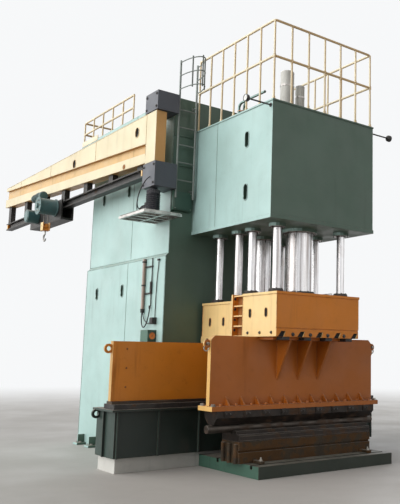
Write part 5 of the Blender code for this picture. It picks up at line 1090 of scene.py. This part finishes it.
def dress_rear_station():
    """The rear beam's plugs and the rear bed's welds."""
    marks = [(-2.19, 0.55, z) for z in (1.126, 1.38, 1.638)]
    bolted("beam_plugs", socket_bolt(looks().bolt_radius * 0.7), marks, FRONT, "recess_brown", "slide")
    face, half = 0.45, 2.36
    beads = seams([((-half, face, 0.806), (half, face, 0.806))], THICK_BEAD)
    for share in (-0.985, -0.73, -0.46, -0.2, 0.2, 0.46, 0.73, 0.985):
        beads += seams([((share * half + step, face, 0.21), (share * half + step, face, 0.80))
                        for step in (-0.010, 0.010)])
    dressed("rear_bed_welds", beads, "bed_green", "frame")


def rail_run(x, start, end, z):
    """One rail: up one side, across and back, as a tube with bent corners."""
    run = bent_path([(-x, start, z), (-x, end, z), (x, end, z), (x, start, z)], 0.05)
    return tube(run, RAIL_RADIUS, 16, UP)


def dress_rails():
    """Smooth guard rails with post feet and tee sleeves."""
    tubes, sleeves, feet, bolts = [], [], [], []
    places = [(x, RAIL_FRONT) for x in np.linspace(-RAIL_X, RAIL_X, POST_COUNT)]
    places += [(side, y) for side in (-RAIL_X, RAIL_X)
               for y in np.linspace(RAIL_FRONT, RAIL_BACK, POST_COUNT)[1:]]
    for x, y in places:
        tubes.append(bar("z", (x, y), POST_RADIUS, ROOF_TOP, RAIL_TOP, 0.001, 16))
        sleeves.append(bar("z", (x, y), POST_RADIUS + 0.006, RAIL_MIDDLE - 0.028, RAIL_MIDDLE + 0.028,
                           0.003, 16))
        feet.append(bar("z", (x, y), 0.036, ROOF_TOP - SINK, ROOF_TOP + 0.010, 0.002, 20))
        feet.append(bar("z", (x, y), 0.021, ROOF_TOP, ROOF_TOP + 0.05, 0.003, 16))
        bolts.append(circle_places((x, y), 0.028, 4, ROOF_TOP + 0.010, math.pi / 4))
    tubes += [rail_run(RAIL_X, RAIL_BACK, RAIL_FRONT, z) for z in (RAIL_MIDDLE, RAIL_TOP)]
    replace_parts(dressed("roof_rail", tubes, "rail_yellow", "frame"), "guard_rail")
    dressed("rail_sleeves", sleeves, "rail_yellow", "frame")
    dressed("rail_feet", feet, "rail_yellow", "frame")
    bolted("rail_foot_bolts", socket_bolt(0.004), np.concatenate(bolts), UP, "zinc_bolt", "frame")
    tubes, feet = [], []
    for side in (-REAR_RAIL_X, REAR_RAIL_X):
        for y in np.linspace(REAR_RAIL_START, REAR_RAIL_END, REAR_POST_COUNT):
            base = COLUMN_TOP if y < COLUMN_BACK else PLATFORM_TOP
            tubes.append(bar("z", (side, y), POST_RADIUS, base, REAR_RAIL_TOP, 0.001, 16))
            feet.append(bar("z", (side, y), 0.034, base - SINK, base + 0.010, 0.002, 20))
    tubes += [rail_run(REAR_RAIL_X, REAR_RAIL_START, REAR_RAIL_END, z)
              for z in (REAR_RAIL_MIDDLE, REAR_RAIL_TOP)]
    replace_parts(dressed("back_rail", tubes, "rail_yellow", "frame"), "rear_rail")
    dressed("back_rail_feet", feet, "rail_yellow", "frame")


def dress_ladder():
    """A round-tubed ladder with grip rungs, wall arms and safety hoops."""
    shapes = []
    for x in (LADDER_X - LADDER_HALF, LADDER_X + LADDER_HALF):
        shapes.append(bar("z", (x, LADDER_Y), LADDER_TUBE, LADDER_LOW, LADDER_HIGH, 0.003, 16))
        for z in (4.09, 5.44):
            shapes.append(bar("y", (z, x), 0.010, LADDER_Y, WALL_Y, 0.001, 12))
            shapes.append(bar("y", (z, x), 0.024, WALL_Y - 0.0077, WALL_Y, 0.001, 16))
    for z in np.arange(LADDER_LOW + LADDER_PITCH, COLUMN_TOP, LADDER_PITCH):
        shapes.append(bar("x", (LADDER_Y, z), 0.011, LADDER_X - LADDER_HALF, LADDER_X + LADDER_HALF, 0.001,
                          12))
    top = LADDER_HIGH - 0.032
    for step in range(3):
        hoop = arc("z", (LADDER_X, LADDER_Y), top - step * HOOP_PITCH, LADDER_HALF, 0.0, -math.pi,
                   rise=HOOP_DEPTH)
        shapes.append(tube(hoop, 0.009, 10))
    for turn in (-math.pi / 4, 0.0, math.pi / 4):
        x = LADDER_X + LADDER_HALF * math.sin(turn)
        y = LADDER_Y - HOOP_DEPTH * math.cos(turn)
        shapes.append(block((x - 0.012, y - 0.004, top - 2 * HOOP_PITCH - 0.03),
                            (x + 0.012, y + 0.004, LADDER_HIGH), 0.002))
    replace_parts(solid("cage_ladder", shapes, "ladder_grey", "frame"), "access_ladder")


def fins(axis, centre, radius, reach, low, high, count, sides=48):
    """Cooling fins: a profile that steps out and in along the axis, carried round it."""
    pitch = (high - low) / count
    profile = [(0, low)]
    for step in range(count):
        start = low + step * pitch
        profile += [(radius, start), (radius, start + pitch * 0.55), (radius + reach, start + pitch * 0.6),
                    (radius + reach, start + pitch * 0.9), (radius, start + pitch * 0.95)]
    profile.append((0, high))
    return turned(axis, centre, profile, sides)


def dress_roof():
    """Domed tanks with bands, the finned pump set, and the valve block's wheel and gauge."""
    low = ROOF_TOP + FIT
    foot = low + SKID_HEIGHT - SINK
    shapes = [block((-0.08, -0.12, low), (0.46, 0.16, low + SKID_HEIGHT), 0.003)]
    bands = []
    for x, radius, height in TANKS:
        rise = radius * 0.35
        dome = [(radius * math.cos(turn), low + height - rise + rise * math.sin(turn))
                for turn in np.linspace(0.0, math.pi / 2, 9)]
        shapes.append(turned("z", (x, TANK_Y),
                             [(0, foot), (radius - 0.004, foot), (radius, foot + 0.01), *dome]))
        for z in (low + height * 0.25, low + height * 0.72):
            bands.append(ring("z", (x, TANK_Y), radius - 0.002, radius + 0.004, z, z + 0.03, 0.001, 48))
    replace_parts(dressed("domed_tanks", shapes, "pale_grey", "frame"), "prefill_tanks")
    dressed("tank_bands", bands, "bare_steel", "frame")
    axis_z = low + 0.17
    left, right = PUMP_X - PUMP_HALF, PUMP_X + PUMP_HALF
    place = (PUMP_Y, axis_z)
    parts = [fins("x", place, PUMP_RADIUS - 0.018, 0.016, left + 0.06, right - 0.05, 11),
             bar("x", place, PUMP_RADIUS - 0.006, left, left + 0.065, 0.012),
             bar("x", place, PUMP_RADIUS - 0.012, right - 0.055, right, 0.008),
             block((left + 0.05, PUMP_Y - 0.12, low), (right - 0.05, PUMP_Y + 0.12, low + 0.02), 0.003),
             block((left + 0.07, PUMP_Y - 0.07, low + 0.015), (right - 0.07, PUMP_Y + 0.07, low + 0.09),
                   0.006),
             block((PUMP_X - 0.05, PUMP_Y - 0.04, axis_z + 0.09),
                   (PUMP_X + 0.05, PUMP_Y + 0.04, axis_z + 0.155), 0.006)]
    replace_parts(dressed("finned_pump", parts, "black_steel", "frame"), "pump_set")
    x, y, z = centre = (-0.62, 0.28, low + 0.215)
    wheel = [tube(arc("z", (x, y), z, 0.06, 0.0, 2 * math.pi), 0.006, 10),
             bar("z", (x, y), 0.008, low + 0.13, z + 0.01, 0.001, 14)]
    for turn in (0.0, math.pi / 3, 2 * math.pi / 3):
        reach = np.array([0.058 * math.cos(turn), 0.058 * math.sin(turn), 0.0])
        wheel.append(tube([centre - reach, centre + reach], 0.004, 8))
    solid("valve_wheel", wheel, "dial_orange", "frame")
    x, z = -0.545, low + 0.20
    gauge = [bar("y", (z, x), 0.032, 0.165, 0.195, 0.003, 36),
             bar("z", (x, 0.19), 0.006, low + 0.12, low + 0.18, 0.001, 12)]
    dressed("pressure_gauge", gauge, "bare_steel", "frame")
    solid("gauge_face", [bar("y", (z, x), 0.028, 0.1635, 0.1655, 0.0005, 36)], "lamp_glass", "frame")


def dress_lamps():
    """Flood lamps: a wall plate, a thin arm, a ribbed bowl and its glass."""
    place = (LAMP_Y, LAMP_Z)
    for side, name in ((-1, "left"), (1, "right")):
        root = side * LAMP_ROOT
        tip = side * (LAMP_ROOT + LAMP_REACH)
        far = tip + side * LAMP_LENGTH
        bowl = [(0, root), (0.011, root), (0.011, tip), (0.02, tip + side * 0.002),
                (0.044, tip + side * 0.02),
                (0.048, tip + side * 0.03), (0.046, tip + side * 0.034), (LAMP_RADIUS, tip + side * 0.04),
                (LAMP_RADIUS, far), (0.043, far), (0.043, far - side * 0.006), (0, far - side * 0.006)]
        wall = [(0, root), (0.03, root), (0.03, root + side * 0.008), (0, root + side * 0.008)]
        shapes = [turned("x", place, bowl, 40), turned("x", place, wall, 24)]
        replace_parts(dressed(f"{name}_flood_lamp", shapes, "black_steel", "frame"), f"{name}_lamp")
        dome = [(0.042 * math.cos(turn), far - side * (0.005 - 0.004 * math.sin(turn)))
                for turn in np.linspace(0, math.pi / 2, 7)]
        glass = turned("x", place, [(0, far - side * 0.0055), *dome], 40)
        solid(f"{name}_lamp_glass", [glass], "lamp_glass", "frame")


def dress_fittings():
    """The round dial on its box, the box's screws and the junction box's lid."""
    x, z = DIAL_X, DIAL_Z
    solid("dial_bezel", [ring("y", (z, x), 0.052, 0.062, DIAL_FRONT - 0.014, DIAL_FRONT + SINK)],
          "box_green", "frame")
    disc = bar("y", (z, x), 0.0525, DIAL_FRONT - 0.008, DIAL_FRONT + SINK, 0.001)
    solid("dial_disc", [disc], "dial_orange", "frame")
    level = DIAL_FRONT - 0.0085
    ticks = []
    for turn in np.linspace(-0.75 * math.pi, 0.75 * math.pi, 13):
        ends = [(x + radius * math.sin(turn), level, z + radius * math.cos(turn))
                for radius in (0.038, 0.047)]
        ticks.append(tube(ends, 0.0012, 6, BACK))
    needle = [(x - 0.01, level - 0.001, z - 0.012), (x + 0.026, level - 0.001, z + 0.03)]
    ticks += [tube(needle, (0.0028, 0.001), 8, BACK),
              bar("y", (z, x), 0.006, DIAL_FRONT - 0.012, DIAL_FRONT - 0.007, 0.001, 16)]
    dressed("dial_needle", ticks, "black_steel", "frame")
    screws = [(COLUMN_LEFT - 0.14, y, z) for y in (1.275, 1.485) for z in (1.735, 1.915)]
    bolted("dial_box_screws", socket_bolt(0.005), screws, LEFT, "zinc_bolt", "frame")
    lid = block((COLUMN_LEFT - 0.076, 1.265, 2.025), (COLUMN_LEFT - 0.068, 1.355, 2.115), 0.002)
    dressed("junction_lid", [lid], "black_steel", "frame")


def dress_jib():
    """Weld seams, slot rims and backs, a plug, pin washers and the brackets' bolts."""
    face, end = PIVOT_X - JIB_HALF, JIB_FAR - 0.02
    beads = []
    for x in (face, PIVOT_X + JIB_HALF):
        beads += seams([((x, 1.27, 4.60), (x, 1.27, JIB_TOP))])
        for y in (3.2, 5.4, 7.2):
            share = (y - 0.95) / 7.25
            beads += seams([((x, y, 4.765 + 0.42 * share), (x, y, JIB_TOP))])
        beads += seams([((x, JIB_START, near), (x, end, far))
                        for near, far in ((4.7836, 5.185), (JIB_TOP, JIB_TOP), (4.4755, 4.81))])
    dressed("jib_welds", beads, "jib_yellow", "jib")
    rims = [oval_rim("x", place, face, *JIB_SLOT, -1) for place in JIB_SLOTS]
    dressed("jib_hole_rims", rims, "jib_yellow", "jib")
    # Painted shade: near-black sheets just inside the jib's slots, standing for the shade within them.
    shade_sheets = [plate("x", oval(place, *JIB_SLOT), face + 0.010, face + 0.016) for place in JIB_SLOTS]
    solid("jib_hole_shade", shade_sheets, "hole_dark", "jib")
    plug = [ring("x", JIB_PLUG, 0.030, 0.042, face - 0.006, face + 0.002, 0.001, 32),
            bar("x", JIB_PLUG, 0.031, face - 0.003, face + 0.002, 0.001, 32)]
    solid("jib_plug", plug, "recess_brown", "jib")
    washers = [ring("z", (PIVOT_X, PIVOT_Y), 0.0535, 0.085, z, z + 0.008, 0.001, 40)
               for z in (4.4505, 5.2515)]
    dressed("pivot_washers", washers, "bare_steel", "frame")
    places = [(PIVOT_X - 0.095, y, z) for y in (0.95, 1.27) for z in (4.12, 4.40, 5.31, 5.51)]
    bolted("bracket_bolts", hexagon_bolt(looks().bolt_radius), places, LEFT, "black_steel", "frame")


def dress_runway():
    """Stops and bolts of the runway beam."""
    stops = [block((PIVOT_X + side * 0.06, y - 0.02, 4.29), (PIVOT_X + side * 0.012, y + 0.02, FLANGE_Z))
             for y in (1.42, 8.06) for side in (-1, 1)]
    dressed("runway_stops", stops, "slide_yellow", "jib")
    places = [(PIVOT_X + across, y + step, FLANGE_Z) for y in np.linspace(1.52, 7.96, 7)
              for step in (-0.05, 0.05) for across in (-0.045, 0.045)]
    bolted("runway_bolts", hexagon_bolt(0.010), places, DOWN, "zinc_bolt", "jib")


def dress_drum():
    """The rope drum: a grooved barrel between two flanges, with a boss and bolts."""
    away = HOIST_FACE - DRUM_LENGTH
    place = (DRUM_Y, DRUM_Z)
    share = np.linspace(0.0, 1.0, 121)
    barrel = DRUM_BARREL + 0.006 * np.abs(np.sin(share * DRUM_GROOVES * math.pi))
    heights = away + 0.022 + share * (DRUM_LENGTH - 0.044)
    flange = [(0.165, 0.0), (0.170, 0.004), (0.170, 0.016), (0.165, 0.02)]
    profile = [(0, away), *((radius, away + step) for radius, step in flange), *zip(barrel, heights),
               *((radius, HOIST_FACE - step) for radius, step in reversed(flange)), (0, HOIST_FACE)]
    shapes = [turned("x", place, profile), bar("x", place, 0.05, away - 0.03, away + 0.01, 0.006, 32)]
    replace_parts(dressed("grooved_drum", shapes, "hoist_teal", "trolley"), "hoist_drum")
    places = circle_places(place, 0.11, 6, away, axis="x")
    bolted("drum_bolts", hexagon_bolt(0.013), places, LEFT, "zinc_bolt", "trolley")


def dress_machines():
    """The hoist's ribbed gearbox and its finned travel motor."""
    place = (GEARBOX_Y, GEARBOX_Z)
    end = HOIST_FACE - 0.24
    shapes = [bar("x", place, 0.13, end + 0.012, HOIST_FACE, 0.006),
              bar("x", place, 0.115, end, end + 0.02, 0.01),
              ring("x", place, 0.12, 0.1298, end + 0.09, end + 0.12, 0.002)]
    for _, y, z in circle_places(place, 0.123, 6, end, axis="x"):
        shapes.append(bar("x", (y, z), 0.006, end + 0.02, HOIST_FACE - SINK, 0.001, 12))
    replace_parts(dressed("ribbed_gearbox", shapes, "hoist_teal", "trolley"), "hoist_gearbox")
    x = HOIST_FACE - 0.085
    place = (MOTOR_Z, x)
    low, high = MOTOR_Y - MOTOR_HALF, MOTOR_Y + MOTOR_HALF
    shapes = [fins("y", place, 0.072, 0.012, low + 0.07, high - 0.06, 16),
              bar("y", place, 0.083, low, low + 0.08, 0.012),
              bar("y", place, 0.078, high - 0.065, high, 0.008),
              block((x - 0.04, MOTOR_Y - 0.06, MOTOR_Z + 0.06), (x + 0.04, MOTOR_Y + 0.06, MOTOR_Z + 0.085),
                    0.006)]
    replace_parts(dressed("finned_motor", shapes, "hoist_teal", "trolley"), "travel_motor")


def dress_wheels():
    """The four trolley wheels: a tread, a hub and a bore carried round each axle."""
    for end, y in (("front", TROLLEY_Y - WHEEL_REACH), ("rear", TROLLEY_Y + WHEEL_REACH)):
        for side_name, side in (("left", -1), ("right", 1)):
            section = [(0.0143, 0.0), (0.045, 0.0), (0.045, 0.026), (0.040, 0.030), (0.024, 0.030),
                       (0.022, 0.034), (0.0143, 0.034), (0.0143, 0.0)]
            profile = [(radius, PIVOT_X + side * 0.015 + side * step) for radius, step in section]
            name = f"{end}_{side_name}"
            shape = turned("x", (y, WHEEL_Z), profile, 40)
            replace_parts(dressed(f"{name}_tread", [shape], "bare_steel", f"{name}_wheel"), f"{name}_wheel")


def dress_hook():
    """The rope falls, the sheave block between its cheeks, and the forged hook."""
    x = HOIST_FACE - DRUM_LENGTH / 2
    top = DRUM_Z - DRUM_BARREL - FIT
    high = top - ROPE_LENGTH
    low = high - BLOCK_HEIGHT
    falls = [bar("z", (x + step, DRUM_Y), 0.008, high - 0.05, top - FIT, 0.001, 12)
             for step in (-0.035, 0.035)]
    solid("rope_falls", falls, "rope_wire", "trolley")
    sheave = [(0, -0.045), (0.055, -0.045), (0.048, -0.035), (0.055, -0.02), (0.055, 0.02), (0.048, 0.035),
              (0.055, 0.045), (0, 0.045)]
    axle = (DRUM_Y, high - 0.07)
    cheeks = [block((x - 0.07, DRUM_Y - 0.066, low), (x - 0.052, DRUM_Y + 0.066, high), 0.008),
              block((x + 0.052, DRUM_Y - 0.066, low), (x + 0.07, DRUM_Y + 0.066, high), 0.008),
              block((x - 0.06, DRUM_Y - 0.045, low), (x + 0.06, DRUM_Y + 0.045, high - 0.11), 0.006),
              turned("x", axle, [(radius, x + step) for radius, step in sheave], 40),
              bar("x", axle, 0.014, x - 0.07, x + 0.07, 0.002, 20)]
    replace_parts(dressed("sheave_block", cheeks, "slide_yellow", "trolley"), "hook_block")
    top = low - FIT
    curve = arc("x", (DRUM_Y, top - 0.07 - HOOK_RADIUS), x, HOOK_RADIUS, math.pi / 2,
                math.pi / 2 - HOOK_SWEEP, 60)
    stem = np.stack([np.full(8, x), np.full(8, DRUM_Y), np.linspace(top, top - 0.066, 8)], -1)
    path = np.concatenate([stem, curve])
    radius = 0.017 - 0.007 * np.clip((np.linspace(0.0, 1.0, len(path)) - 0.75) / 0.25, 0.0, 1.0)
    hook = [tube(path, radius, 16, RIGHT), bar("z", (x, DRUM_Y), 0.026, top - 0.022, top - SINK, 0.003, 24)]
    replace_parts(dressed("forged_hook", hook, "bare_steel", "hook"), "hook")


def dress_hoist():
    """The hoist: its grooved drum, gearbox and motor, wheels, and the block with its hook."""
    dress_drum()
    dress_machines()
    dress_wheels()
    dress_hook()


def dress_drive():
    """The slewing drive, a finned motor with a toothed ring, and the platform's grating."""
    pivot = (PIVOT_X, PIVOT_Y)
    motor = (3.75, PIVOT_X)
    shapes = [fins("z", pivot, 0.088, 0.020, 3.70, 3.97, 9), bar("z", pivot, 0.11, 3.6403, 3.705, 0.008),
              bar("z", pivot, 0.06, 4.03, 4.0697, 0.004, 32), bar("y", motor, 0.088, 1.11, 1.41, 0.014),
              fins("y", motor, 0.084, 0.010, 1.20, 1.37, 8),
              block((PIVOT_X - 0.04, 1.20, 3.83), (PIVOT_X + 0.04, 1.32, 3.87), 0.006)]
    shapes += [bar("z", (x, y), 0.009, 3.98, 4.03, 0.001, 6) for x, y,
               _ in circle_places(pivot, 0.095, 24, 3.98)]
    shapes.append(ring("z", pivot, 0.02, 0.098, 3.975, 4.035, 0.002, 48))
    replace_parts(solid("slewing_gearmotor", shapes, "drive_steel", "frame"), "slewing_drive")
    bolted("drive_bolts", hexagon_bolt(0.010), circle_places(pivot, 0.098, 8, 3.705), UP, "zinc_bolt",
           "frame")
    bars = [block((-1.965, y, 3.636), (-1.36, y + 0.005, 3.655), 0.001, 1)
            for y in np.arange(0.72, 1.51, 0.035)]
    bars += [block((x, 0.70, 3.642), (x + 0.006, 1.52, 3.652), 0.001, 1)
             for x in np.linspace(-1.94, -1.38, 5)]
    dressed("platform_grating", bars, "pale_grey", "frame")


def cable_loop(start, end, sag, bow, count=33):
    """A hanging loop: half an ellipse of the given sag below the straight line, bowed out to the left."""
    start, end = np.array(start, float), np.array(end, float)
    angle = np.linspace(0.0, math.pi, count)
    path = start + (0.5 - 0.5 * np.cos(angle))[:, None] * (end - start)
    path[:, 2] -= sag * np.sin(angle)
    path[:, 0] -= bow * np.sin(angle)
    return path


def dress_cables():
    """The hanging cables of the drive and conduit, the ribbed conduit, and the lines beside it."""
    for name, start, end, sag, bow, diameter in CABLES:
        path = cable_loop(start, end, sag, bow)
        made = solid(name, [tube(path, diameter / 2, 12, RIGHT)], "cable_sheath", "frame")
        length = float(np.linalg.norm(np.diff(path, axis=0), axis=1).sum())
    face, top = COLUMN_LEFT, 3.05
    place = (face - 0.028, CONDUIT_Y)
    share = np.linspace(0.0, 1.0, 241)
    ribbed = 0.0262 + 0.0016 * np.cos(share * 2 * math.pi * CONDUIT_RIBS)
    profile = [(0.0, CONDUIT_LOW), *zip(ribbed, CONDUIT_LOW + share * (top - CONDUIT_LOW)), (0.0, top)]
    hose = solid("ribbed_conduit", [turned("z", place, profile, 20)], "conduit_tan", "frame")
    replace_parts(hose, "conduit")
    shapes = [ring("z", place, 0.0265, 0.033, z, z + 0.025, 0.001, 24) for z in (2.24, 2.62, 2.99)]
    shapes += [bar("z", place, 0.031, 2.205, 2.245, 0.004, 20),
               bar("z", (place[0], LINE_Y), 0.016, 2.26, 2.31, 0.003, 16)]
    wave = np.sin(np.linspace(0.0, 2 * math.pi, 6))
    line = np.stack([np.full(6, face - 0.012), LINE_Y + 0.006 * wave, np.linspace(2.30, top, 6)], -1)
    shapes += [tube(line, 0.008, 12, RIGHT), bar("z", (face - 0.020, LINE_Y), 0.019, 2.50, 2.68, 0.004, 16)]
    thin = [(face - 0.010, y, z) for y,
            z in ((1.25, 3.02), (1.262, 2.90), (1.29, 2.70), (1.305, 2.45), (1.31, 2.12))]
    shapes += [tube(bent_path(thin, 0.04), 0.006, 10, RIGHT),
               block((face - 0.03, 1.225, 2.99), (face, 1.275, 3.02), 0.003),
               block((face - 0.07, 1.26, 2.02), (face, 1.36, 2.12))]
    shapes += [block((face - 0.022, 1.44, z), (face, 1.735, z + 0.022), 0.003) for z in (2.49, 2.91)]
    dressed("hose_fittings", shapes, "black_steel", "frame")


def dress_platform():
    """Chequered plate studs and toe boards on the rear platform."""
    xs, ys = np.meshgrid(np.arange(-1.28, 1.30, 0.08), np.arange(4.08, 4.74, 0.08))
    places = np.stack([xs.ravel(), ys.ravel(), np.full(xs.size, PLATFORM_TOP - SINK)], -1)
    stud = turned("z", (0.0, 0.0), [(0, 0), (0.016, 0), (0.011, 0.003), (0, 0.003)], 6)
    bolted("platform_studs", stud, places, UP, "press_green", "frame")
    boards = [block((-1.35, 4.755, 5.54), (1.35, 4.765, 5.65), 0.002)]
    boards += [block((x - 0.005, 4.03, 5.54), (x + 0.005, 4.76, 5.65), 0.002) for x in (-1.347, 1.347)]
    dressed("toe_boards", boards, "rail_yellow", "frame")


def make_floor():
    """A pale floor that fades into the background far from the press."""
    bpy.ops.mesh.primitive_circle_add(vertices=96, radius=60.0, fill_type="NGON", location=(0.0, 0.0, 0.0))
    floor = bpy.context.object
    floor.name = "pale_floor"
    floor.location.z = -0.001
    material = bpy.data.materials.new("floor_finish")
    material.use_nodes = True
    graph = Graph(material.node_tree)
    shader = material.node_tree.nodes["Principled BSDF"]
    place = graph.add("TexCoord").outputs["Object"]
    cloud = graph.noise(place, 0.8, 6.0, 0.6)
    graph.feed(shader.inputs["Base Color"], graph.mix((0.46, 0.44, 0.415), (0.38, 0.36, 0.335), cloud))
    graph.feed(shader.inputs["Roughness"], graph.ramp(cloud, 0.3, 0.7, 0.6, 0.8))
    distance = graph.add("VectorMath", {0: place}, operation="LENGTH").outputs["Value"]
    path = graph.add("LightPath")
    seen = graph.sum("MAXIMUM", path.outputs["Is Camera Ray"], path.outputs["Is Glossy Ray"])
    share = graph.sum("MULTIPLY", graph.ramp(distance, 9.0, 26.0), seen)
    glow = graph.add("Emission", {"Color": BACKGROUND, "Strength": 1.0})
    blend = graph.add("MixShader", {0: share, 1: shader.outputs[0], 2: glow.outputs[0]})
    graph.feed(material.node_tree.nodes["Material Output"].inputs["Surface"], blend.outputs[0])
    floor.data.materials.append(material)


def make_world():
    """A pale background, and soft light that is strong from the left and weak from the right."""
    world = bpy.data.worlds.new("hall_light")
    bpy.context.scene.world = world
    world.use_nodes = True
    graph = Graph(world.node_tree)
    path = graph.add("LightPath")
    seen = graph.sum("MAXIMUM", path.outputs["Is Camera Ray"],
                     graph.sum("MAXIMUM", path.outputs["Is Glossy Ray"], path.outputs["Is Transmission Ray"]))
    world.node_tree.nodes.remove(world.node_tree.nodes["Background"])
    way = graph.add("SeparateXYZ", {0: graph.add("TexCoord").outputs["Generated"]}).outputs["X"]
    soft = graph.add("Background",
                     {"Color": (0.93, 0.96, 1.0), "Strength": graph.ramp(way, -1.0, 0.0, 1.1, 0.09)})
    bright = graph.add("Background", {"Color": BACKGROUND, "Strength": 1.0})
    blend = graph.add("MixShader", {0: seen, 1: soft.outputs[0], 2: bright.outputs[0]})
    graph.feed(world.node_tree.nodes["World Output"].inputs["Surface"], blend.outputs[0])


def make_lamps():
    """The soft lamps: each with the way to it, its strength, its spread in degrees and its colour."""
    for name, toward, strength, spread, colour in LIGHTS:
        data = bpy.data.lights.new(name, "SUN")
        data.energy = strength
        data.angle = math.radians(spread)
        data.color = colour
        lamp = bpy.data.objects.new(name, data)
        lamp.rotation_mode = "QUATERNION"
        lamp.rotation_quaternion = Vector(toward).to_track_quat("Z", "Y")
        bpy.context.scene.collection.objects.link(lamp)


def make_camera():
    """The camera at the photograph's place, turned by its yaw, pitch and roll."""
    data = bpy.data.cameras.new("photo_view")
    data.lens = CAMERA_LENS_MM
    data.sensor_width = CAMERA_SENSOR_MM
    data.shift_x = CAMERA_SHIFT
    camera = bpy.data.objects.new("photo_view", data)
    ahead = Vector((-math.sin(CAMERA_YAW) * math.cos(CAMERA_PITCH),
                    math.cos(CAMERA_YAW) * math.cos(CAMERA_PITCH), math.sin(CAMERA_PITCH)))
    right = Vector((math.cos(CAMERA_YAW), math.sin(CAMERA_YAW), 0.0))
    up = right.cross(ahead)
    rolled_right = math.cos(CAMERA_ROLL) * right + math.sin(CAMERA_ROLL) * up
    rolled_up = math.cos(CAMERA_ROLL) * up - math.sin(CAMERA_ROLL) * right
    turn = Matrix((rolled_right, rolled_up, -ahead)).transposed()
    camera.matrix_world = Matrix.Translation(CAMERA_PLACE) @ turn.to_4x4()
    bpy.context.scene.collection.objects.link(camera)
    bpy.context.scene.camera = camera


def make_stage():
    """The floor, the world, the lamps and the camera."""
    make_floor()
    make_world()
    make_lamps()
    make_camera()
    bpy.context.scene.view_settings.view_transform = "Standard"


class PRESS_OT_finishes(bpy.types.Operator):
    """Make all finishes and give them to the CAD nodes."""

    bl_idname = "press.finishes"
    bl_label = "Finishes"

    def execute(self, context):
        make_materials()
        finish_nodes()
        return {"FINISHED"}


def piece_operator(build):
    """An operator class that runs one building function, with the function's name and docstring."""
    suffix = build.__name__.split("_", 1)[1]

    def execute(self, context):
        build()
        return {"FINISHED"}

    return type(f"PRESS_OT_{suffix}", (bpy.types.Operator,),
                {"__doc__": build.__doc__, "bl_idname": f"press.{suffix}",
                 "bl_label": suffix.replace("_", " ").capitalize(), "execute": execute})


PIECE_OPERATORS = [piece_operator(build) for build in (
    dress_rods, dress_head, dress_column, dress_slide, dress_die_beam, dress_tools, dress_rear_station,
    dress_rails, dress_ladder, dress_roof, dress_lamps, dress_fittings, dress_jib, dress_runway, dress_hoist,
    dress_drive, dress_cables, dress_platform, make_stage)]


class PRESS_PT_panel(bpy.types.Panel):
    """Lists the press's settings and building steps."""

    bl_idname = "PRESS_PT_panel"
    bl_label = "Hydraulic press"
    bl_space_type = "VIEW_3D"
    bl_region_type = "UI"
    bl_category = "Press"

    def draw(self, context):
        settings = context.scene.press_looks
        for name in settings.bl_rna.properties.keys():
            if name not in {"rna_type", "name"}:
                self.layout.prop(settings, name)
        for operator in [PRESS_OT_finishes, *PIECE_OPERATORS]:
            self.layout.operator(operator.bl_idname)


CLASSES = [PressLooks, PRESS_OT_finishes, *PIECE_OPERATORS, PRESS_PT_panel]


def register():
    """Register the classes and the settings."""
    for cls in CLASSES:
        bpy.utils.register_class(cls)
    bpy.types.Scene.press_looks = PointerProperty(type=PressLooks)


def unregister():
    """Remove the settings and the classes."""
    del bpy.types.Scene.press_looks
    for cls in reversed(CLASSES):
        bpy.utils.unregister_class(cls)


def main():
    """Register, run every step in order and write the two boxes."""
    register()
    bpy.ops.press.finishes()
    for operator in PIECE_OPERATORS:
        getattr(bpy.ops.press, operator.bl_idname.split(".")[1])()
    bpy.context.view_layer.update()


if __name__ == "__main__":
    main()
